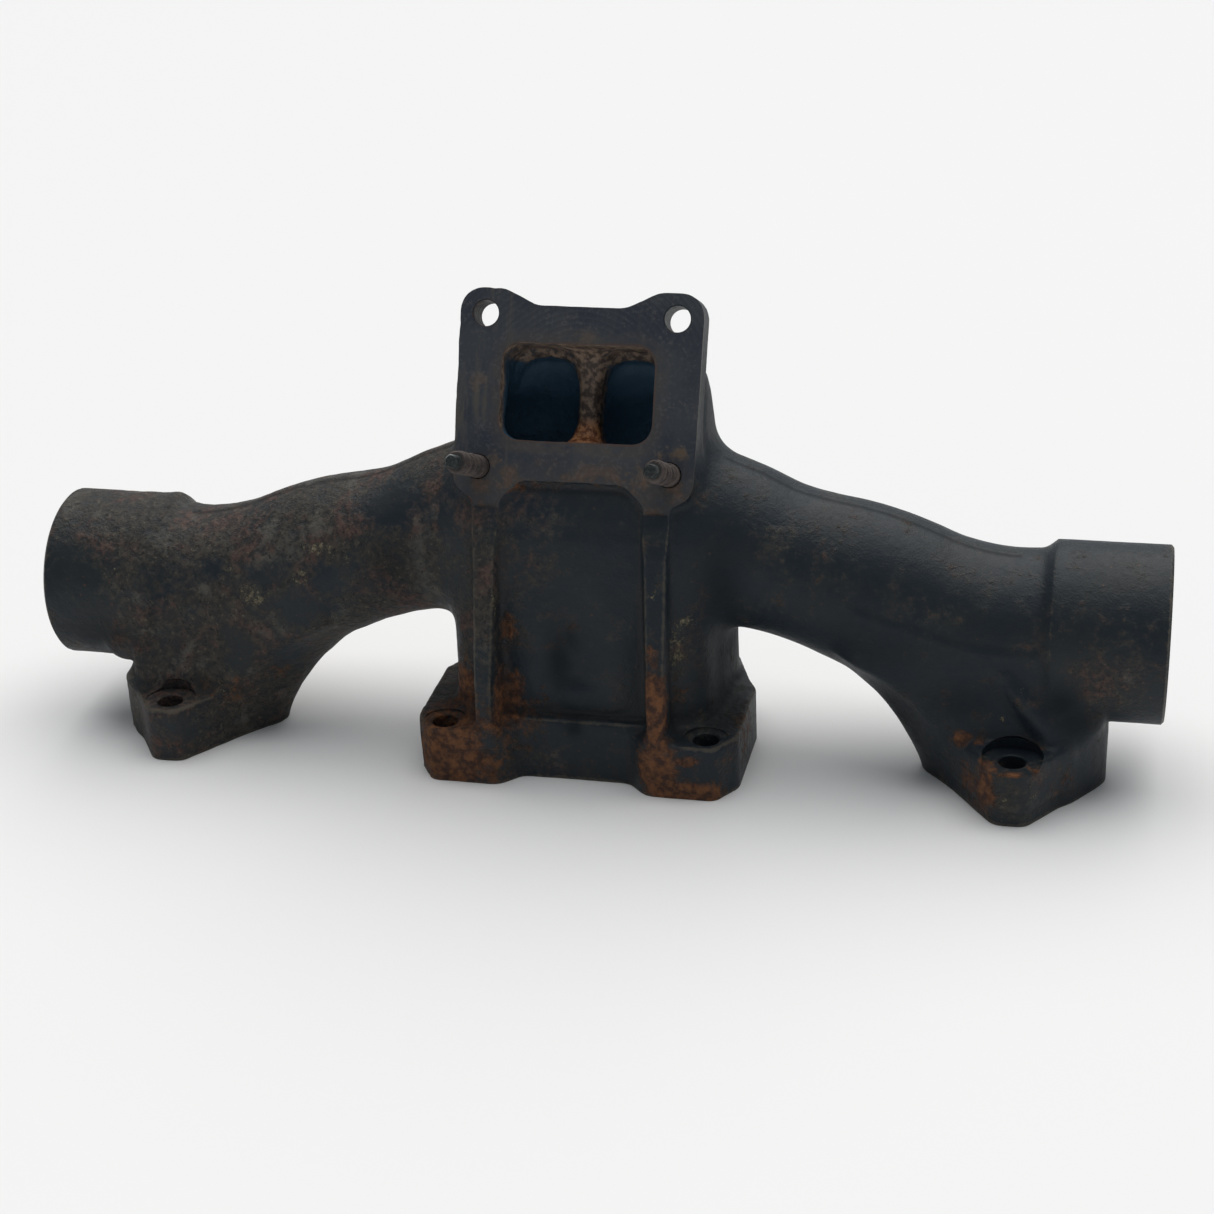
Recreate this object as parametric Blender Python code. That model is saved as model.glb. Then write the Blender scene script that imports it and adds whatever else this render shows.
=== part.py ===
"""Centre section of a three-piece exhaust manifold for a large in-line diesel engine.

Metres, +Z up. The head face lies on Z = 0, X runs along the engine, and the origin is on the
head face midway between the two centre exhaust ports. The turbocharger flange faces -Y and is
leaned back. The part is symmetric about X = 0.
"""

import math

import bmesh
import bpy
from mathutils import Matrix, Vector

# ---------------------------------------------------------------- driving dimensions
HALF_LENGTH = 0.350            # origin to the outer end of each slip collar

FOOT_HEIGHT = 0.0360           # head face to the top of the feet
SEAT_HEIGHT = 0.0350           # head face to the bolt seats, spotfaced into the feet
BOLT_Y = 0.052                 # bolt line in front of and behind the port centres
BOLT_HOLE_R = 0.008
SIDE_FOOT_X = 0.2645
CENTRE_BOLT_X = 0.082          # front bolts of the centre foot
CENTRE_REAR_BOLT_X = 0.074     # rear bolts, where the foot is narrower
SIDE_SPOTFACE_R = 0.017
CENTRE_SPOTFACE_R = 0.0138
CENTRE_REAR_SPOTFACE_R = 0.011
SPOTFACE_REACH = 0.040         # how far up a spotface clears the wall beside it
REAR_SPOTFACE_REACH = 0.013    # the same behind the side feet, under the overhanging arm
REAR_SPOTFACE_R = 0.015

SIDE_PORT_R = 0.026
CENTRE_PORT_X = 0.046
CENTRE_PORT_R = 0.025

COLLAR_Y = 0.017               # axis of both slip collars
COLLAR_Z = 0.090
COLLAR_R = 0.0537
COLLAR_BORE_R = 0.0455
COLLAR_START = 0.283           # inner end of the full diameter
COLLAR_SHOULDER = 0.010        # length of the shoulder behind it
COLLAR_BORE_DEPTH = 0.064
COLLAR_CHAMFER = 0.0015
NECK_R = 0.0492                # arm radius next to the collar

FLANGE_Y = -0.005              # centre of the turbocharger flange face
FLANGE_Z = 0.236
FLANGE_TILT = math.radians(25.0)
FLANGE_THICKNESS = 0.019
FLANGE_HALF_WIDTH = 0.0735
FLANGE_TOP = 0.061             # top of the ears above the centre, along the face
FLANGE_TOP_WAIST = 0.051
FLANGE_BOTTOM = 0.0635
FLANGE_BOTTOM_WAIST = 0.0525
FLANGE_CORNER_R = 0.013
FLANGE_HOLE_X = 0.0582
FLANGE_HOLE_V = 0.0458
FLANGE_HOLE_R = 0.0078
PORT_HALF_WIDTH = 0.0465
PORT_HALF_HEIGHT = 0.0289
PORT_CORNER_R = 0.012
DIVIDER_SETBACK = 0.036        # flange face to the front edge of the divider
DIVIDER_HALF_THICKNESS = 0.006

STUD_R = 0.0072
STUD_PROTRUSION = 0.0475       # threaded length standing out of the flange
STUD_DRIVE_R = 0.0048
STUD_DRIVE_LENGTH = 0.009
STUD_ENGAGEMENT = 0.022
STUD_CHAMFER = 0.0012

RIB_INNER_X = 0.0460           # the two upright ribs on the front of the riser
RIB_OUTER_X = 0.0590
WEB_HALF_WIDTH = 0.038         # raised web between the two lobes of the centre foot
WEB_TOP = 0.040
WEB_FRONT = 0.0512

RING_X = (0.298, 0.308)        # inner face of each seal ring, measured from the centre
RING_WIDTH = 0.0050
RING_OUTER_R = 0.0485
RING_INNER_R = 0.0443
RING_GAP = math.radians(1.6)   # butt gap of a split ring

FIT = 0.0003                   # clearance between touching pieces
OVERSHOOT = 0.006              # how far a cutter passes the face that it opens
HOLE_SEGMENTS = 20


# ---------------------------------------------------------------- small helpers
def clear_scene():
    for obj in list(bpy.data.objects):
        bpy.data.objects.remove(obj, do_unlink=True)


def make_material(name, color, metallic, roughness):
    material = bpy.data.materials.new(name)
    material.use_nodes = True
    shader = material.node_tree.nodes["Principled BSDF"]
    shader.inputs["Base Color"].default_value = (*color, 1.0)
    shader.inputs["Metallic"].default_value = metallic
    shader.inputs["Roughness"].default_value = roughness
    return material


def object_from_bmesh(name, bm):
    bmesh.ops.recalc_face_normals(bm, faces=bm.faces)
    mesh = bpy.data.meshes.new(name)
    bm.to_mesh(mesh)
    bm.free()
    obj = bpy.data.objects.new(name, mesh)
    bpy.context.scene.collection.objects.link(obj)
    return obj


def loft(name, rings):
    """Closed solid through rings that all have the same number of points."""
    bm = bmesh.new()
    rows = [[bm.verts.new(point) for point in ring] for ring in rings]
    count = len(rows[0])
    for lower, upper in zip(rows, rows[1:]):
        for i in range(count):
            j = (i + 1) % count
            bm.faces.new((lower[i], lower[j], upper[j], upper[i]))
    bm.faces.new(rows[0])
    bm.faces.new(rows[-1])
    return object_from_bmesh(name, bm)


def ellipse_ring(centre, across, along, radius_a, radius_b, count=HOLE_SEGMENTS):
    centre = Vector(centre)
    ring = []
    for i in range(count):
        angle = math.tau * i / count
        offset = Vector(across) * radius_a * math.cos(angle) + Vector(along) * radius_b * math.sin(angle)
        ring.append(centre + offset)
    return ring


def cylinder(name, start, end, radius, count=HOLE_SEGMENTS):
    """Solid cylinder between two points."""
    start, end = Vector(start), Vector(end)
    axis = (end - start).normalized()
    across = axis.orthogonal().normalized()
    along = axis.cross(across)
    rings = [ellipse_ring(point, across, along, radius, radius, count) for point in (start, end)]
    return loft(name, rings)


def swept_ring(name, section, place, angle, count):
    """Closed (radius, z) section swept part of the way round the local Z axis."""
    rings = []
    for turn in spaced(0.0, angle, count):
        rings.append([place @ Vector((r * math.cos(turn), r * math.sin(turn), z)) for r, z in section])
    return loft(name, rings)


def apply_boolean(target, cutter, operation):
    """Apply one exact Boolean and drop the tool object."""
    modifier = target.modifiers.new(operation, "BOOLEAN")
    modifier.solver = "EXACT"
    modifier.operation = operation
    modifier.object = cutter
    evaluated = target.evaluated_get(bpy.context.evaluated_depsgraph_get())
    mesh = bpy.data.meshes.new_from_object(evaluated)
    target.modifiers.clear()
    target.data = mesh
    bpy.data.objects.remove(cutter, do_unlink=True)


def unite(target, others):
    for other in others:
        apply_boolean(target, other, "UNION")


def cut(target, cutters):
    for cutter in cutters:
        apply_boolean(target, cutter, "DIFFERENCE")


def interpolate(table, key):
    """Smooth (Catmull-Rom) reading of a table of rows whose first entry is the key."""
    for i in range(len(table) - 1):
        if key <= table[i + 1][0] or i == len(table) - 2:
            break
    before = table[max(i - 1, 0)]
    start, end = table[i], table[i + 1]
    after = table[min(i + 2, len(table) - 1)]
    span = end[0] - start[0]
    t = min(max((key - start[0]) / span, 0.0), 1.0)
    values = []
    for a, b, c, d in zip(before[1:], start[1:], end[1:], after[1:]):
        slope_start = (c - a) * span / (end[0] - before[0])
        slope_end = (d - b) * span / (after[0] - start[0])
        values.append((2 * t**3 - 3 * t**2 + 1) * b + (t**3 - 2 * t**2 + t) * slope_start
                      + (3 * t**2 - 2 * t**3) * c + (t**3 - t**2) * slope_end)
    return values


def spaced(start, end, count):
    return [start + (end - start) * i / (count - 1) for i in range(count)]


# ---------------------------------------------------------------- flange frame
FLANGE_OUT = Vector((0.0, -math.cos(FLANGE_TILT), math.sin(FLANGE_TILT)))
FLANGE_UP = Vector((0.0, math.sin(FLANGE_TILT), math.cos(FLANGE_TILT)))
FLANGE_CENTRE = Vector((0.0, FLANGE_Y, FLANGE_Z))


def on_flange(x, v, depth=0.0):
    """Point at x across, v up the face and depth behind it."""
    return FLANGE_CENTRE + Vector((x, 0.0, 0.0)) + FLANGE_UP * v - FLANGE_OUT * depth


# ---------------------------------------------------------------- outlines
def rounded_corner(corner, previous, following, radius, steps=4):
    """Arc points that round one corner of an outline."""
    corner, previous, following = Vector(corner), Vector(previous), Vector(following)
    to_previous = (previous - corner).normalized()
    to_following = (following - corner).normalized()
    half_angle = to_previous.angle(to_following) / 2
    tangent = radius / math.tan(half_angle)
    centre = corner + (to_previous + to_following).normalized() * radius / math.sin(half_angle)
    start = corner + to_previous * tangent - centre
    end = corner + to_following * tangent - centre
    sweep = start.angle(end)
    points = []
    for i in range(steps + 1):
        t = i / steps
        points.append(centre + (start * math.sin((1 - t) * sweep) + end * math.sin(t * sweep))
                      / math.sin(sweep))
    return points


def rounded_outline(corners):
    """Outline through (x, y, radius) corners; a radius of zero keeps a corner sharp."""
    points = []
    for i, (x, y, radius) in enumerate(corners):
        previous = corners[i - 1][:2]
        following = corners[(i + 1) % len(corners)][:2]
        if radius > 0.0:
            points.extend(rounded_corner((x, y), previous, following, radius))
        else:
            points.append(Vector((x, y)))
    return points


def mirrored(half):
    """Close a half outline, given for x > 0, by mirroring it about x = 0."""
    return half + [(-x, y, radius) for x, y, radius in reversed(half)]


def flange_outline():
    return rounded_outline(mirrored([
        (0.031, -FLANGE_BOTTOM_WAIST, 0.012),
        (0.045, -FLANGE_BOTTOM, 0.010),
        (FLANGE_HALF_WIDTH - 0.001, -FLANGE_BOTTOM, FLANGE_CORNER_R),
        (FLANGE_HALF_WIDTH, FLANGE_TOP, FLANGE_CORNER_R),
        (0.047, FLANGE_TOP, 0.014),
        (0.027, FLANGE_TOP_WAIST, 0.016),
    ]))


def port_outline():
    width, height, radius = PORT_HALF_WIDTH, PORT_HALF_HEIGHT, PORT_CORNER_R
    return rounded_outline([
        (width, -height, radius), (width, height, radius), (-width, height, radius), (-width, -height, radius),
    ])


def side_foot_outline():
    nose_y = 0.0675
    nose = 0.010
    side_x = 0.053
    side_y = 0.006
    return rounded_outline([
        (nose, -nose_y, 0.007), (side_x, -side_y, 0.012), (side_x, side_y, 0.012), (nose, nose_y, 0.007),
        (-nose, nose_y, 0.007), (-side_x, side_y, 0.012), (-side_x, -side_y, 0.012), (-nose, -nose_y, 0.007),
    ])


def centre_foot_outline():
    inner_lobe = [(0.033, 0.0512, 0.012), (0.046, 0.0655, 0.012)]
    right = [(x, -y, radius) for x, y, radius in inner_lobe]
    right += [(0.089, -0.0655, 0.008), (0.101, -0.047, 0.012), (0.101, 0.018, 0.012)]
    right += [(0.0885, 0.0435, 0.012), (0.083, 0.0655, 0.010)]
    right += reversed(inner_lobe)
    return rounded_outline(mirrored(right))


def prism(name, outline, low, high, shift_x=0.0):
    rings = [[(point.x + shift_x, point.y, z) for point in outline] for z in (low, high)]
    return loft(name, rings)


def flange_prism(name, outline, depth_start, depth_end):
    rings = [[on_flange(point.x, point.y, depth) for point in outline] for depth in (depth_start, depth_end)]
    return loft(name, rings)


# ---------------------------------------------------------------- outer shapes of the casting
# Riser levels: front Y, Z; rear Y, Z; half widths of the front panel, the sides and the rear.
RISER_LEVELS = [
    (-0.0420, 0.030, 0.056, 0.030, 0.066, 0.0900, 0.060),
    (-0.0440, 0.066, 0.0565, 0.068, 0.0655, 0.0893, 0.0605),
    (-0.0430, 0.104, 0.0605, 0.110, 0.0645, 0.0868, 0.0607),
    (-0.0400, 0.140, 0.064, 0.160, 0.063, 0.0830, 0.060),
    (-0.0345, 0.165, 0.064, 0.207, 0.062, 0.0790, 0.058),
    (-0.0270, 0.179, 0.059, 0.240, 0.062, 0.0760, 0.053),
    (-0.0205, 0.185, 0.044, 0.257, 0.063, 0.0740, 0.048),
    (-0.0171, 0.1865, 0.0197, 0.2653, 0.064, 0.0730, 0.047),
]
# Front edge of each upright rib (Y, Z), from the foot to the flange.
RIB_FRONT = [
    (-0.0650, 0.030), (-0.0650, 0.052), (-0.0640, 0.068), (-0.0585, 0.090), (-0.0512, 0.121),
    (-0.0455, 0.150), (-0.0385, 0.168), (-0.0300, 0.180), (-0.0250, 0.184),
]


def riser():
    rings = []
    for front_y, front_z, rear_y, rear_z, front, side, rear in RISER_LEVELS:
        half = [(front, 0.0), (front + 0.66 * (side - front), 0.12), (side, 0.38), (side, 0.68),
                (rear + 0.55 * (side - rear), 0.88), (rear, 1.0)]
        section = half + [(-x, w) for x, w in reversed(half)]
        rings.append([(x, front_y + (rear_y - front_y) * w, front_z + (rear_z - front_z) * w)
                      for x, w in section])
    return loft("riser", rings)


def rib(side):
    """Upright rib on the front of the riser, deepest at the foot."""
    section = RIB_FRONT + [(0.0, 0.184), (0.0, 0.030)]
    rings = []
    for x in (RIB_INNER_X, RIB_OUTER_X):
        rings.append([(side * x, y, z) for y, z in section])
    return loft("rib", rings)


def foot_web():
    """Raised web that joins the two lobes of the centre foot, with a ledge under the riser's panel."""
    outline = rounded_outline(mirrored([(WEB_HALF_WIDTH, -WEB_FRONT, 0.0), (WEB_HALF_WIDTH, 0.0, 0.0)]))
    return prism("foot_web", outline, 0.020, WEB_TOP)


# Branch stations: X, height of the top, height of the underside, half thickness in Y.
# The underside follows the arch between the feet, then drops into the side foot.
BRANCH_STATIONS = [
    (0.050, 0.1865, 0.0880, 0.0490),
    (0.080, 0.1915, 0.0865, 0.0490),
    (0.105, 0.1838, 0.0845, 0.0480),
    (0.130, 0.1722, 0.0775, 0.0480),
    (0.150, 0.1670, 0.0685, 0.0485),
    (0.170, 0.1633, 0.0555, 0.0490),
    (0.188, 0.1586, 0.0370, 0.0490),
    (0.200, 0.1544, 0.0190, 0.0490),
    (0.207, 0.1515, 0.0080, 0.0490),
    (0.217, 0.1473, 0.0080, 0.0490),
    (0.228, 0.1430, 0.0080, 0.0490),
    (0.245, 0.1392, 0.0080, 0.0490),
    (0.273, 0.1385, 0.0080, 0.0485),
    (0.295, 0.1385, 0.0080, 0.0470),
    (0.307, 0.1370, 0.0080, 0.0430),
    (0.314, 0.1345, 0.0080, 0.0360),
    (0.3165, 0.1300, 0.0080, 0.0250),
]
LEG_LEAN = 0.31                # below the collar axis each leg leans towards its port, Y per Z
LEG_TAPER = 0.20               # and thins on both sides, Y per Z
ARCH_X, ARCH_Z, ARCH_R = 0.085, -0.045, 0.131


def leg_limit(x, z):
    """Half thickness that keeps a leg inside the planes that rise from the sides of its foot."""
    reach = ARCH_R ** 2 - (z - ARCH_Z) ** 2
    arch_x = ARCH_X + math.sqrt(reach) if reach > 0.0 else 0.0
    inboard = 0.006 + (x - arch_x) * 0.95
    outboard = 0.006 + (0.3175 - x) * 1.43 + max(z - FOOT_HEIGHT, 0.0)
    return max(min(inboard, outboard), 0.0015)


def branch_section(x, top, underside, half):
    """Round top and bottom joined by straight sides, drawn in towards the foot."""
    ring = []
    points = 28
    upper_centre = top - NECK_R
    lower_centre = min(underside + NECK_R, upper_centre)
    for i in range(points):
        angle = math.tau * (i + 0.5) / points
        centre = upper_centre if math.sin(angle) > 0 else lower_centre
        z = centre + NECK_R * math.sin(angle)
        drop = max(COLLAR_Z - z, 0.0)
        thickness = min(half * abs(math.cos(angle)), half - drop * LEG_TAPER, leg_limit(x, z))
        y = COLLAR_Y - drop * LEG_LEAN + math.copysign(thickness, math.cos(angle))
        ring.append((x, y, z))
    return ring


def branch(side):
    rings = [branch_section(*station) for station in BRANCH_STATIONS]
    return loft("branch", [[(side * x, y, z) for x, y, z in ring] for ring in rings])


def collar(side):
    """Slip collar: shoulder, full diameter and a small chamfer at the open end."""
    stations = [(COLLAR_START - COLLAR_SHOULDER, NECK_R - 0.001), (COLLAR_START, COLLAR_R),
                (HALF_LENGTH - COLLAR_CHAMFER, COLLAR_R), (HALF_LENGTH, COLLAR_R - COLLAR_CHAMFER)]
    rings = [ellipse_ring((side * x, COLLAR_Y, COLLAR_Z), (0, 1, 0), (0, 0, 1), radius, radius, 48)
             for x, radius in stations]
    return loft("collar", rings)


# ---------------------------------------------------------------- passages of the casting
# Riser passage: X, Y, Z of the centre, lean of the section, half sizes across and along.
RISER_PASSAGE = [
    (CENTRE_PORT_X, 0.000, -OVERSHOOT, 0.0, CENTRE_PORT_R, CENTRE_PORT_R),
    (CENTRE_PORT_X, 0.000, 0.036, 0.0, CENTRE_PORT_R, CENTRE_PORT_R),
    (0.0450, 0.002, 0.072, 0.0, 0.031, 0.034),
    (0.0430, 0.006, 0.110, 0.0, 0.0365, 0.041),
    (0.0415, 0.011, 0.148, 20.0, 0.0350, 0.041),
    (0.0375, 0.017, 0.181, 42.0, 0.0310, 0.036),
    (0.0315, 0.021, 0.205, 56.0, 0.0250, 0.0315),
]
PASSAGE_INSET = 0.0010         # passages stay this far inside the walls of the port they open into
ARM_BORE_R = 0.0420
ARM_BORE_START = 0.050
SIDE_PORT_FLARE = [(-OVERSHOOT, 0.0, SIDE_PORT_R), (0.036, 0.0, SIDE_PORT_R), (0.085, 0.012, 0.037)]


def riser_passage(side):
    rings = []
    for x, y, z, lean, half_x, half_w in RISER_PASSAGE:
        lean = math.radians(lean)
        along = (0.0, math.cos(lean), math.sin(lean))
        rings.append(ellipse_ring((side * x, y, z), (side, 0, 0), along, half_x, half_w))
    half_x = (PORT_HALF_WIDTH - DIVIDER_HALF_THICKNESS) / 2 - PASSAGE_INSET / 2
    centre_x = side * (DIVIDER_HALF_THICKNESS + half_x)
    for depth in (DIVIDER_SETBACK + 0.002, DIVIDER_SETBACK - 0.004):
        rings.append(ellipse_ring(on_flange(centre_x, 0.0, depth), (side, 0, 0), FLANGE_UP,
                                  half_x, PORT_HALF_HEIGHT - PASSAGE_INSET))
    return loft("riser_passage", rings)


def arm_bore(side):
    rings = []
    for x in spaced(ARM_BORE_START, HALF_LENGTH - COLLAR_BORE_DEPTH + 0.002, 11):
        top = interpolate([station[:2] for station in BRANCH_STATIONS], x)[0]
        centre = (side * x, COLLAR_Y, top - NECK_R)
        rings.append(ellipse_ring(centre, (0, 1, 0), (0, 0, 1), ARM_BORE_R, ARM_BORE_R))
    return loft("arm_bore", rings)


def side_port(side):
    rings = [ellipse_ring((side * SIDE_FOOT_X, y, z), (1, 0, 0), (0, 1, 0), radius, radius)
             for z, y, radius in SIDE_PORT_FLARE]
    return loft("side_port", rings)


def collar_bore(side):
    """Stepped bore with one internal groove for each seal ring."""
    groove_r = RING_OUTER_R + FIT
    stations = [(HALF_LENGTH - COLLAR_BORE_DEPTH, COLLAR_BORE_R)]
    for x in RING_X:
        start, end = x - FIT, x + RING_WIDTH + FIT
        stations += [(start, COLLAR_BORE_R), (start, groove_r), (end, groove_r), (end, COLLAR_BORE_R)]
    stations.append((HALF_LENGTH + OVERSHOOT, COLLAR_BORE_R))
    rings = [ellipse_ring((side * x, COLLAR_Y, COLLAR_Z), (0, 1, 0), (0, 0, 1), radius, radius, 40)
             for x, radius in stations]
    return loft("collar_bore", rings)


def bolt_cutters():
    """Head bolt holes and the spotfaces above them."""
    rows = [
        (SIDE_FOOT_X, -BOLT_Y, SIDE_SPOTFACE_R, SPOTFACE_REACH),
        (SIDE_FOOT_X, BOLT_Y, REAR_SPOTFACE_R, REAR_SPOTFACE_REACH),
        (CENTRE_BOLT_X, -BOLT_Y, CENTRE_SPOTFACE_R, SPOTFACE_REACH),
        (CENTRE_REAR_BOLT_X, BOLT_Y, CENTRE_REAR_SPOTFACE_R, SPOTFACE_REACH),
    ]
    cutters = []
    for x, y, spotface_r, reach in rows:
        for side in (-1, 1):
            cutters.append(cylinder("bolt_hole", (side * x, y, -OVERSHOOT),
                                    (side * x, y, SEAT_HEIGHT + OVERSHOOT), BOLT_HOLE_R))
            cutters.append(cylinder("spotface", (side * x, y, SEAT_HEIGHT),
                                    (side * x, y, SEAT_HEIGHT + reach), spotface_r))
    return cutters


def flange_hole_cutters():
    cutters = []
    for side in (-1, 1):
        x = side * FLANGE_HOLE_X
        cutters.append(cylinder("flange_hole", on_flange(x, FLANGE_HOLE_V, -OVERSHOOT),
                                on_flange(x, FLANGE_HOLE_V, 0.05), FLANGE_HOLE_R))
        cutters.append(cylinder("stud_hole", on_flange(x, -FLANGE_HOLE_V, -OVERSHOOT),
                                on_flange(x, -FLANGE_HOLE_V, STUD_ENGAGEMENT + FIT), STUD_R + FIT))
    return cutters


# ---------------------------------------------------------------- the sub-parts
def build_casting():
    casting = riser()
    casting.name = "manifold_casting"
    unite(casting, [
        rib(-1),
        rib(1),
        foot_web(),
        flange_prism("flange", flange_outline(), 0.0, FLANGE_THICKNESS),
        prism("centre_foot", centre_foot_outline(), 0.0, FOOT_HEIGHT),
    ])
    for side in (-1, 1):
        unite(casting, [
            prism("side_foot", side_foot_outline(), 0.0, FOOT_HEIGHT, side * SIDE_FOOT_X),
            branch(side),
            collar(side),
        ])
    cut(casting, [flange_prism("port", port_outline(), -OVERSHOOT, DIVIDER_SETBACK)])
    for side in (-1, 1):
        cut(casting, [riser_passage(side), arm_bore(side), side_port(side), collar_bore(side)])
    cut(casting, bolt_cutters() + flange_hole_cutters())
    return casting


def build_stud(name, side):
    """Double-ended stud: threaded body and a slimmer drive tip."""
    place = Matrix.Translation(on_flange(side * FLANGE_HOLE_X, -FLANGE_HOLE_V))
    place = place @ FLANGE_OUT.to_track_quat("Z", "Y").to_matrix().to_4x4()
    stations = [
        (STUD_R - STUD_CHAMFER, -STUD_ENGAGEMENT),
        (STUD_R, -STUD_ENGAGEMENT + STUD_CHAMFER),
        (STUD_R, STUD_PROTRUSION - STUD_CHAMFER),
        (STUD_R - STUD_CHAMFER, STUD_PROTRUSION),
        (STUD_DRIVE_R, STUD_PROTRUSION),
        (STUD_DRIVE_R, STUD_PROTRUSION + STUD_DRIVE_LENGTH - 0.0006),
        (STUD_DRIVE_R - 0.0006, STUD_PROTRUSION + STUD_DRIVE_LENGTH),
    ]
    across, along = Vector((1, 0, 0)), Vector((0, 1, 0))
    rings = [[place @ point for point in ellipse_ring((0, 0, z), across, along, radius, radius)]
             for radius, z in stations]
    return loft(name, rings)


def build_seal_ring(name, side, start):
    """Split seal ring seated in its groove, with the butt gap at the top."""
    place = Matrix.Translation((side * (start + RING_WIDTH / 2), COLLAR_Y, COLLAR_Z))
    place = place @ Matrix.Rotation(math.pi / 2, 4, "Y") @ Matrix.Rotation(math.pi + RING_GAP / 2, 4, "Z")
    half = RING_WIDTH / 2
    section = [(RING_INNER_R, -half), (RING_OUTER_R, -half), (RING_OUTER_R, half), (RING_INNER_R, half)]
    return swept_ring(name, section, place, math.tau - RING_GAP, 41)


def finish(obj, material):
    """Shade round surfaces smooth and give the object its material."""
    obj.data.materials.clear()
    obj.data.materials.append(material)
    obj.data.shade_smooth()
    obj.data.set_sharp_from_angle(angle=math.radians(32))


def main():
    clear_scene()
    iron = make_material("painted_cast_iron", (0.045, 0.048, 0.052), 0.25, 0.62)
    steel = make_material("rusty_steel", (0.16, 0.10, 0.07), 0.60, 0.58)
    ring_iron = make_material("seal_ring_iron", (0.20, 0.19, 0.18), 0.85, 0.45)
    finish(build_casting(), iron)
    for label, side in (("left", -1), ("right", 1)):
        finish(build_stud(f"turbo_stud_{label}", side), steel)
        for place, start in (("inner", RING_X[0]), ("outer", RING_X[1])):
            finish(build_seal_ring(f"seal_ring_{label}_{place}", side, start), ring_iron)


main()
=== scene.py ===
"""Used cast-iron exhaust manifold, centre section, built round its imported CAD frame."""

import math
from copy import copy

import bmesh
import bpy
import numpy as np
from mathutils import Matrix, Vector


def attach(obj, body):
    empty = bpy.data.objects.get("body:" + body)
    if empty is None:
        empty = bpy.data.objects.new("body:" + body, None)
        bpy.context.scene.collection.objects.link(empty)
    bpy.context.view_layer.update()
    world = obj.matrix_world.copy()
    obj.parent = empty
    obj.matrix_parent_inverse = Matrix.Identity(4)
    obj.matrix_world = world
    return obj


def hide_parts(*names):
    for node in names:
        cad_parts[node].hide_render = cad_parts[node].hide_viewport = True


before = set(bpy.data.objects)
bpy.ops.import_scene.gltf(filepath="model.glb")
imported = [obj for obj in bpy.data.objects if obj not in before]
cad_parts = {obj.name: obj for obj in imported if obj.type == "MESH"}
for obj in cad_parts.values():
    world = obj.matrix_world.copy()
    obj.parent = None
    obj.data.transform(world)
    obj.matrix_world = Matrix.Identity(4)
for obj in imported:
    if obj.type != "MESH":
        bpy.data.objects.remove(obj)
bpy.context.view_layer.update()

# ---- dimensions, in millimetres
MM = 0.001
VOXEL = 1.8
HALF_LENGTH = 350.0
COLLAR_Y, COLLAR_Z, COLLAR_R, COLLAR_BORE_R = 17.0, 90.0, 53.7, 45.5
SIDE_FOOT_X, CENTRE_BOLT_X, CENTRE_REAR_BOLT_X, BOLT_Y = 264.5, 82.0, 74.0, 52.0
FOOT_TOP, SEAT_Z = 35.6, 35.0
BOLT_HOLE_R = 8.0
FLANGE_CENTRE = np.array([0.0, -5.0, 236.0])
FLANGE_TILT = math.radians(25.0)
FLANGE_OUT = np.array([0.0, -math.cos(FLANGE_TILT), math.sin(FLANGE_TILT)])
FLANGE_UP = np.array([0.0, math.sin(FLANGE_TILT), math.cos(FLANGE_TILT)])
FLANGE_THICKNESS = 19.0
FLANGE_HOLE_X, FLANGE_HOLE_V, FLANGE_HOLE_R = 58.2, 45.8, 7.8
PORT_HALF_X, PORT_HALF_V, PORT_R = 46.5, 28.9, 12.0
STUD_R = 7.2
GROOVE_R = 48.8
CAD_TOP = 291.2
ARCH_X, ARCH_Z, ARCH_R = 85.0, -45.0, 130.0
RING_X = (298.0, 308.0)


def on_flange(x, v, depth=0.0):
    return FLANGE_CENTRE + np.array([x, 0.0, 0.0]) + FLANGE_UP * v - FLANGE_OUT * depth


# ---- distance-field tools
def unit(values):
    """Values kept between 0 and 1."""
    return np.clip(values, 0.0, 1.0)


def smooth_min(a, b, k):
    h = unit(0.5 + 0.5 * (b - a) / k)
    return b + (a - b) * h - k * h * (1.0 - h)


def smooth_max(a, b, k):
    return -smooth_min(-a, -b, k)


def round_max(a, b, r):
    """Intersection of two fields with a round edge of radius r."""
    return (np.minimum(np.maximum(a, b), -r)
            + np.hypot(np.maximum(a + r, 0.0), np.maximum(b + r, 0.0)))


def hermite(x, keys, values):
    """Smooth curve through (key, value) rows, read at x."""
    keys, values = np.array(keys, float), np.array(values, float)
    slopes = np.gradient(values, keys)
    i = np.clip(np.searchsorted(keys, x) - 1, 0, len(keys) - 2)
    span = keys[i + 1] - keys[i]
    t = unit((x - keys[i]) / span)
    result = ((2 * t**3 - 3 * t**2 + 1) * values[i] + (t**3 - 2 * t**2 + t) * slopes[i] * span
              + (3 * t**2 - 2 * t**3) * values[i + 1] + (t**3 - t**2) * slopes[i + 1] * span)
    return result.astype(np.float32)


def polygon_distance(px, py, outline):
    """Signed distance to a closed outline, negative inside."""
    shape = np.broadcast(px, py).shape
    best = np.full(shape, 1e9, np.float32)
    inside = np.zeros(shape, bool)
    for (ax, ay), (bx, by) in zip(outline, np.roll(outline, -1, axis=0)):
        ex, ey = bx - ax, by - ay
        length2 = ex * ex + ey * ey
        if length2 < 1e-9:
            continue
        wx, wy = px - ax, py - ay
        t = unit((wx * ex + wy * ey) / length2)
        best = np.minimum(best, (wx - ex * t) ** 2 + (wy - ey * t) ** 2)
        if abs(ey) > 1e-9:
            inside ^= ((ay <= py) != (by <= py)) & (ax + (py - ay) * ex / ey > px)
    return np.where(inside, -1.0, 1.0).astype(np.float32) * np.sqrt(best)


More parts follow.
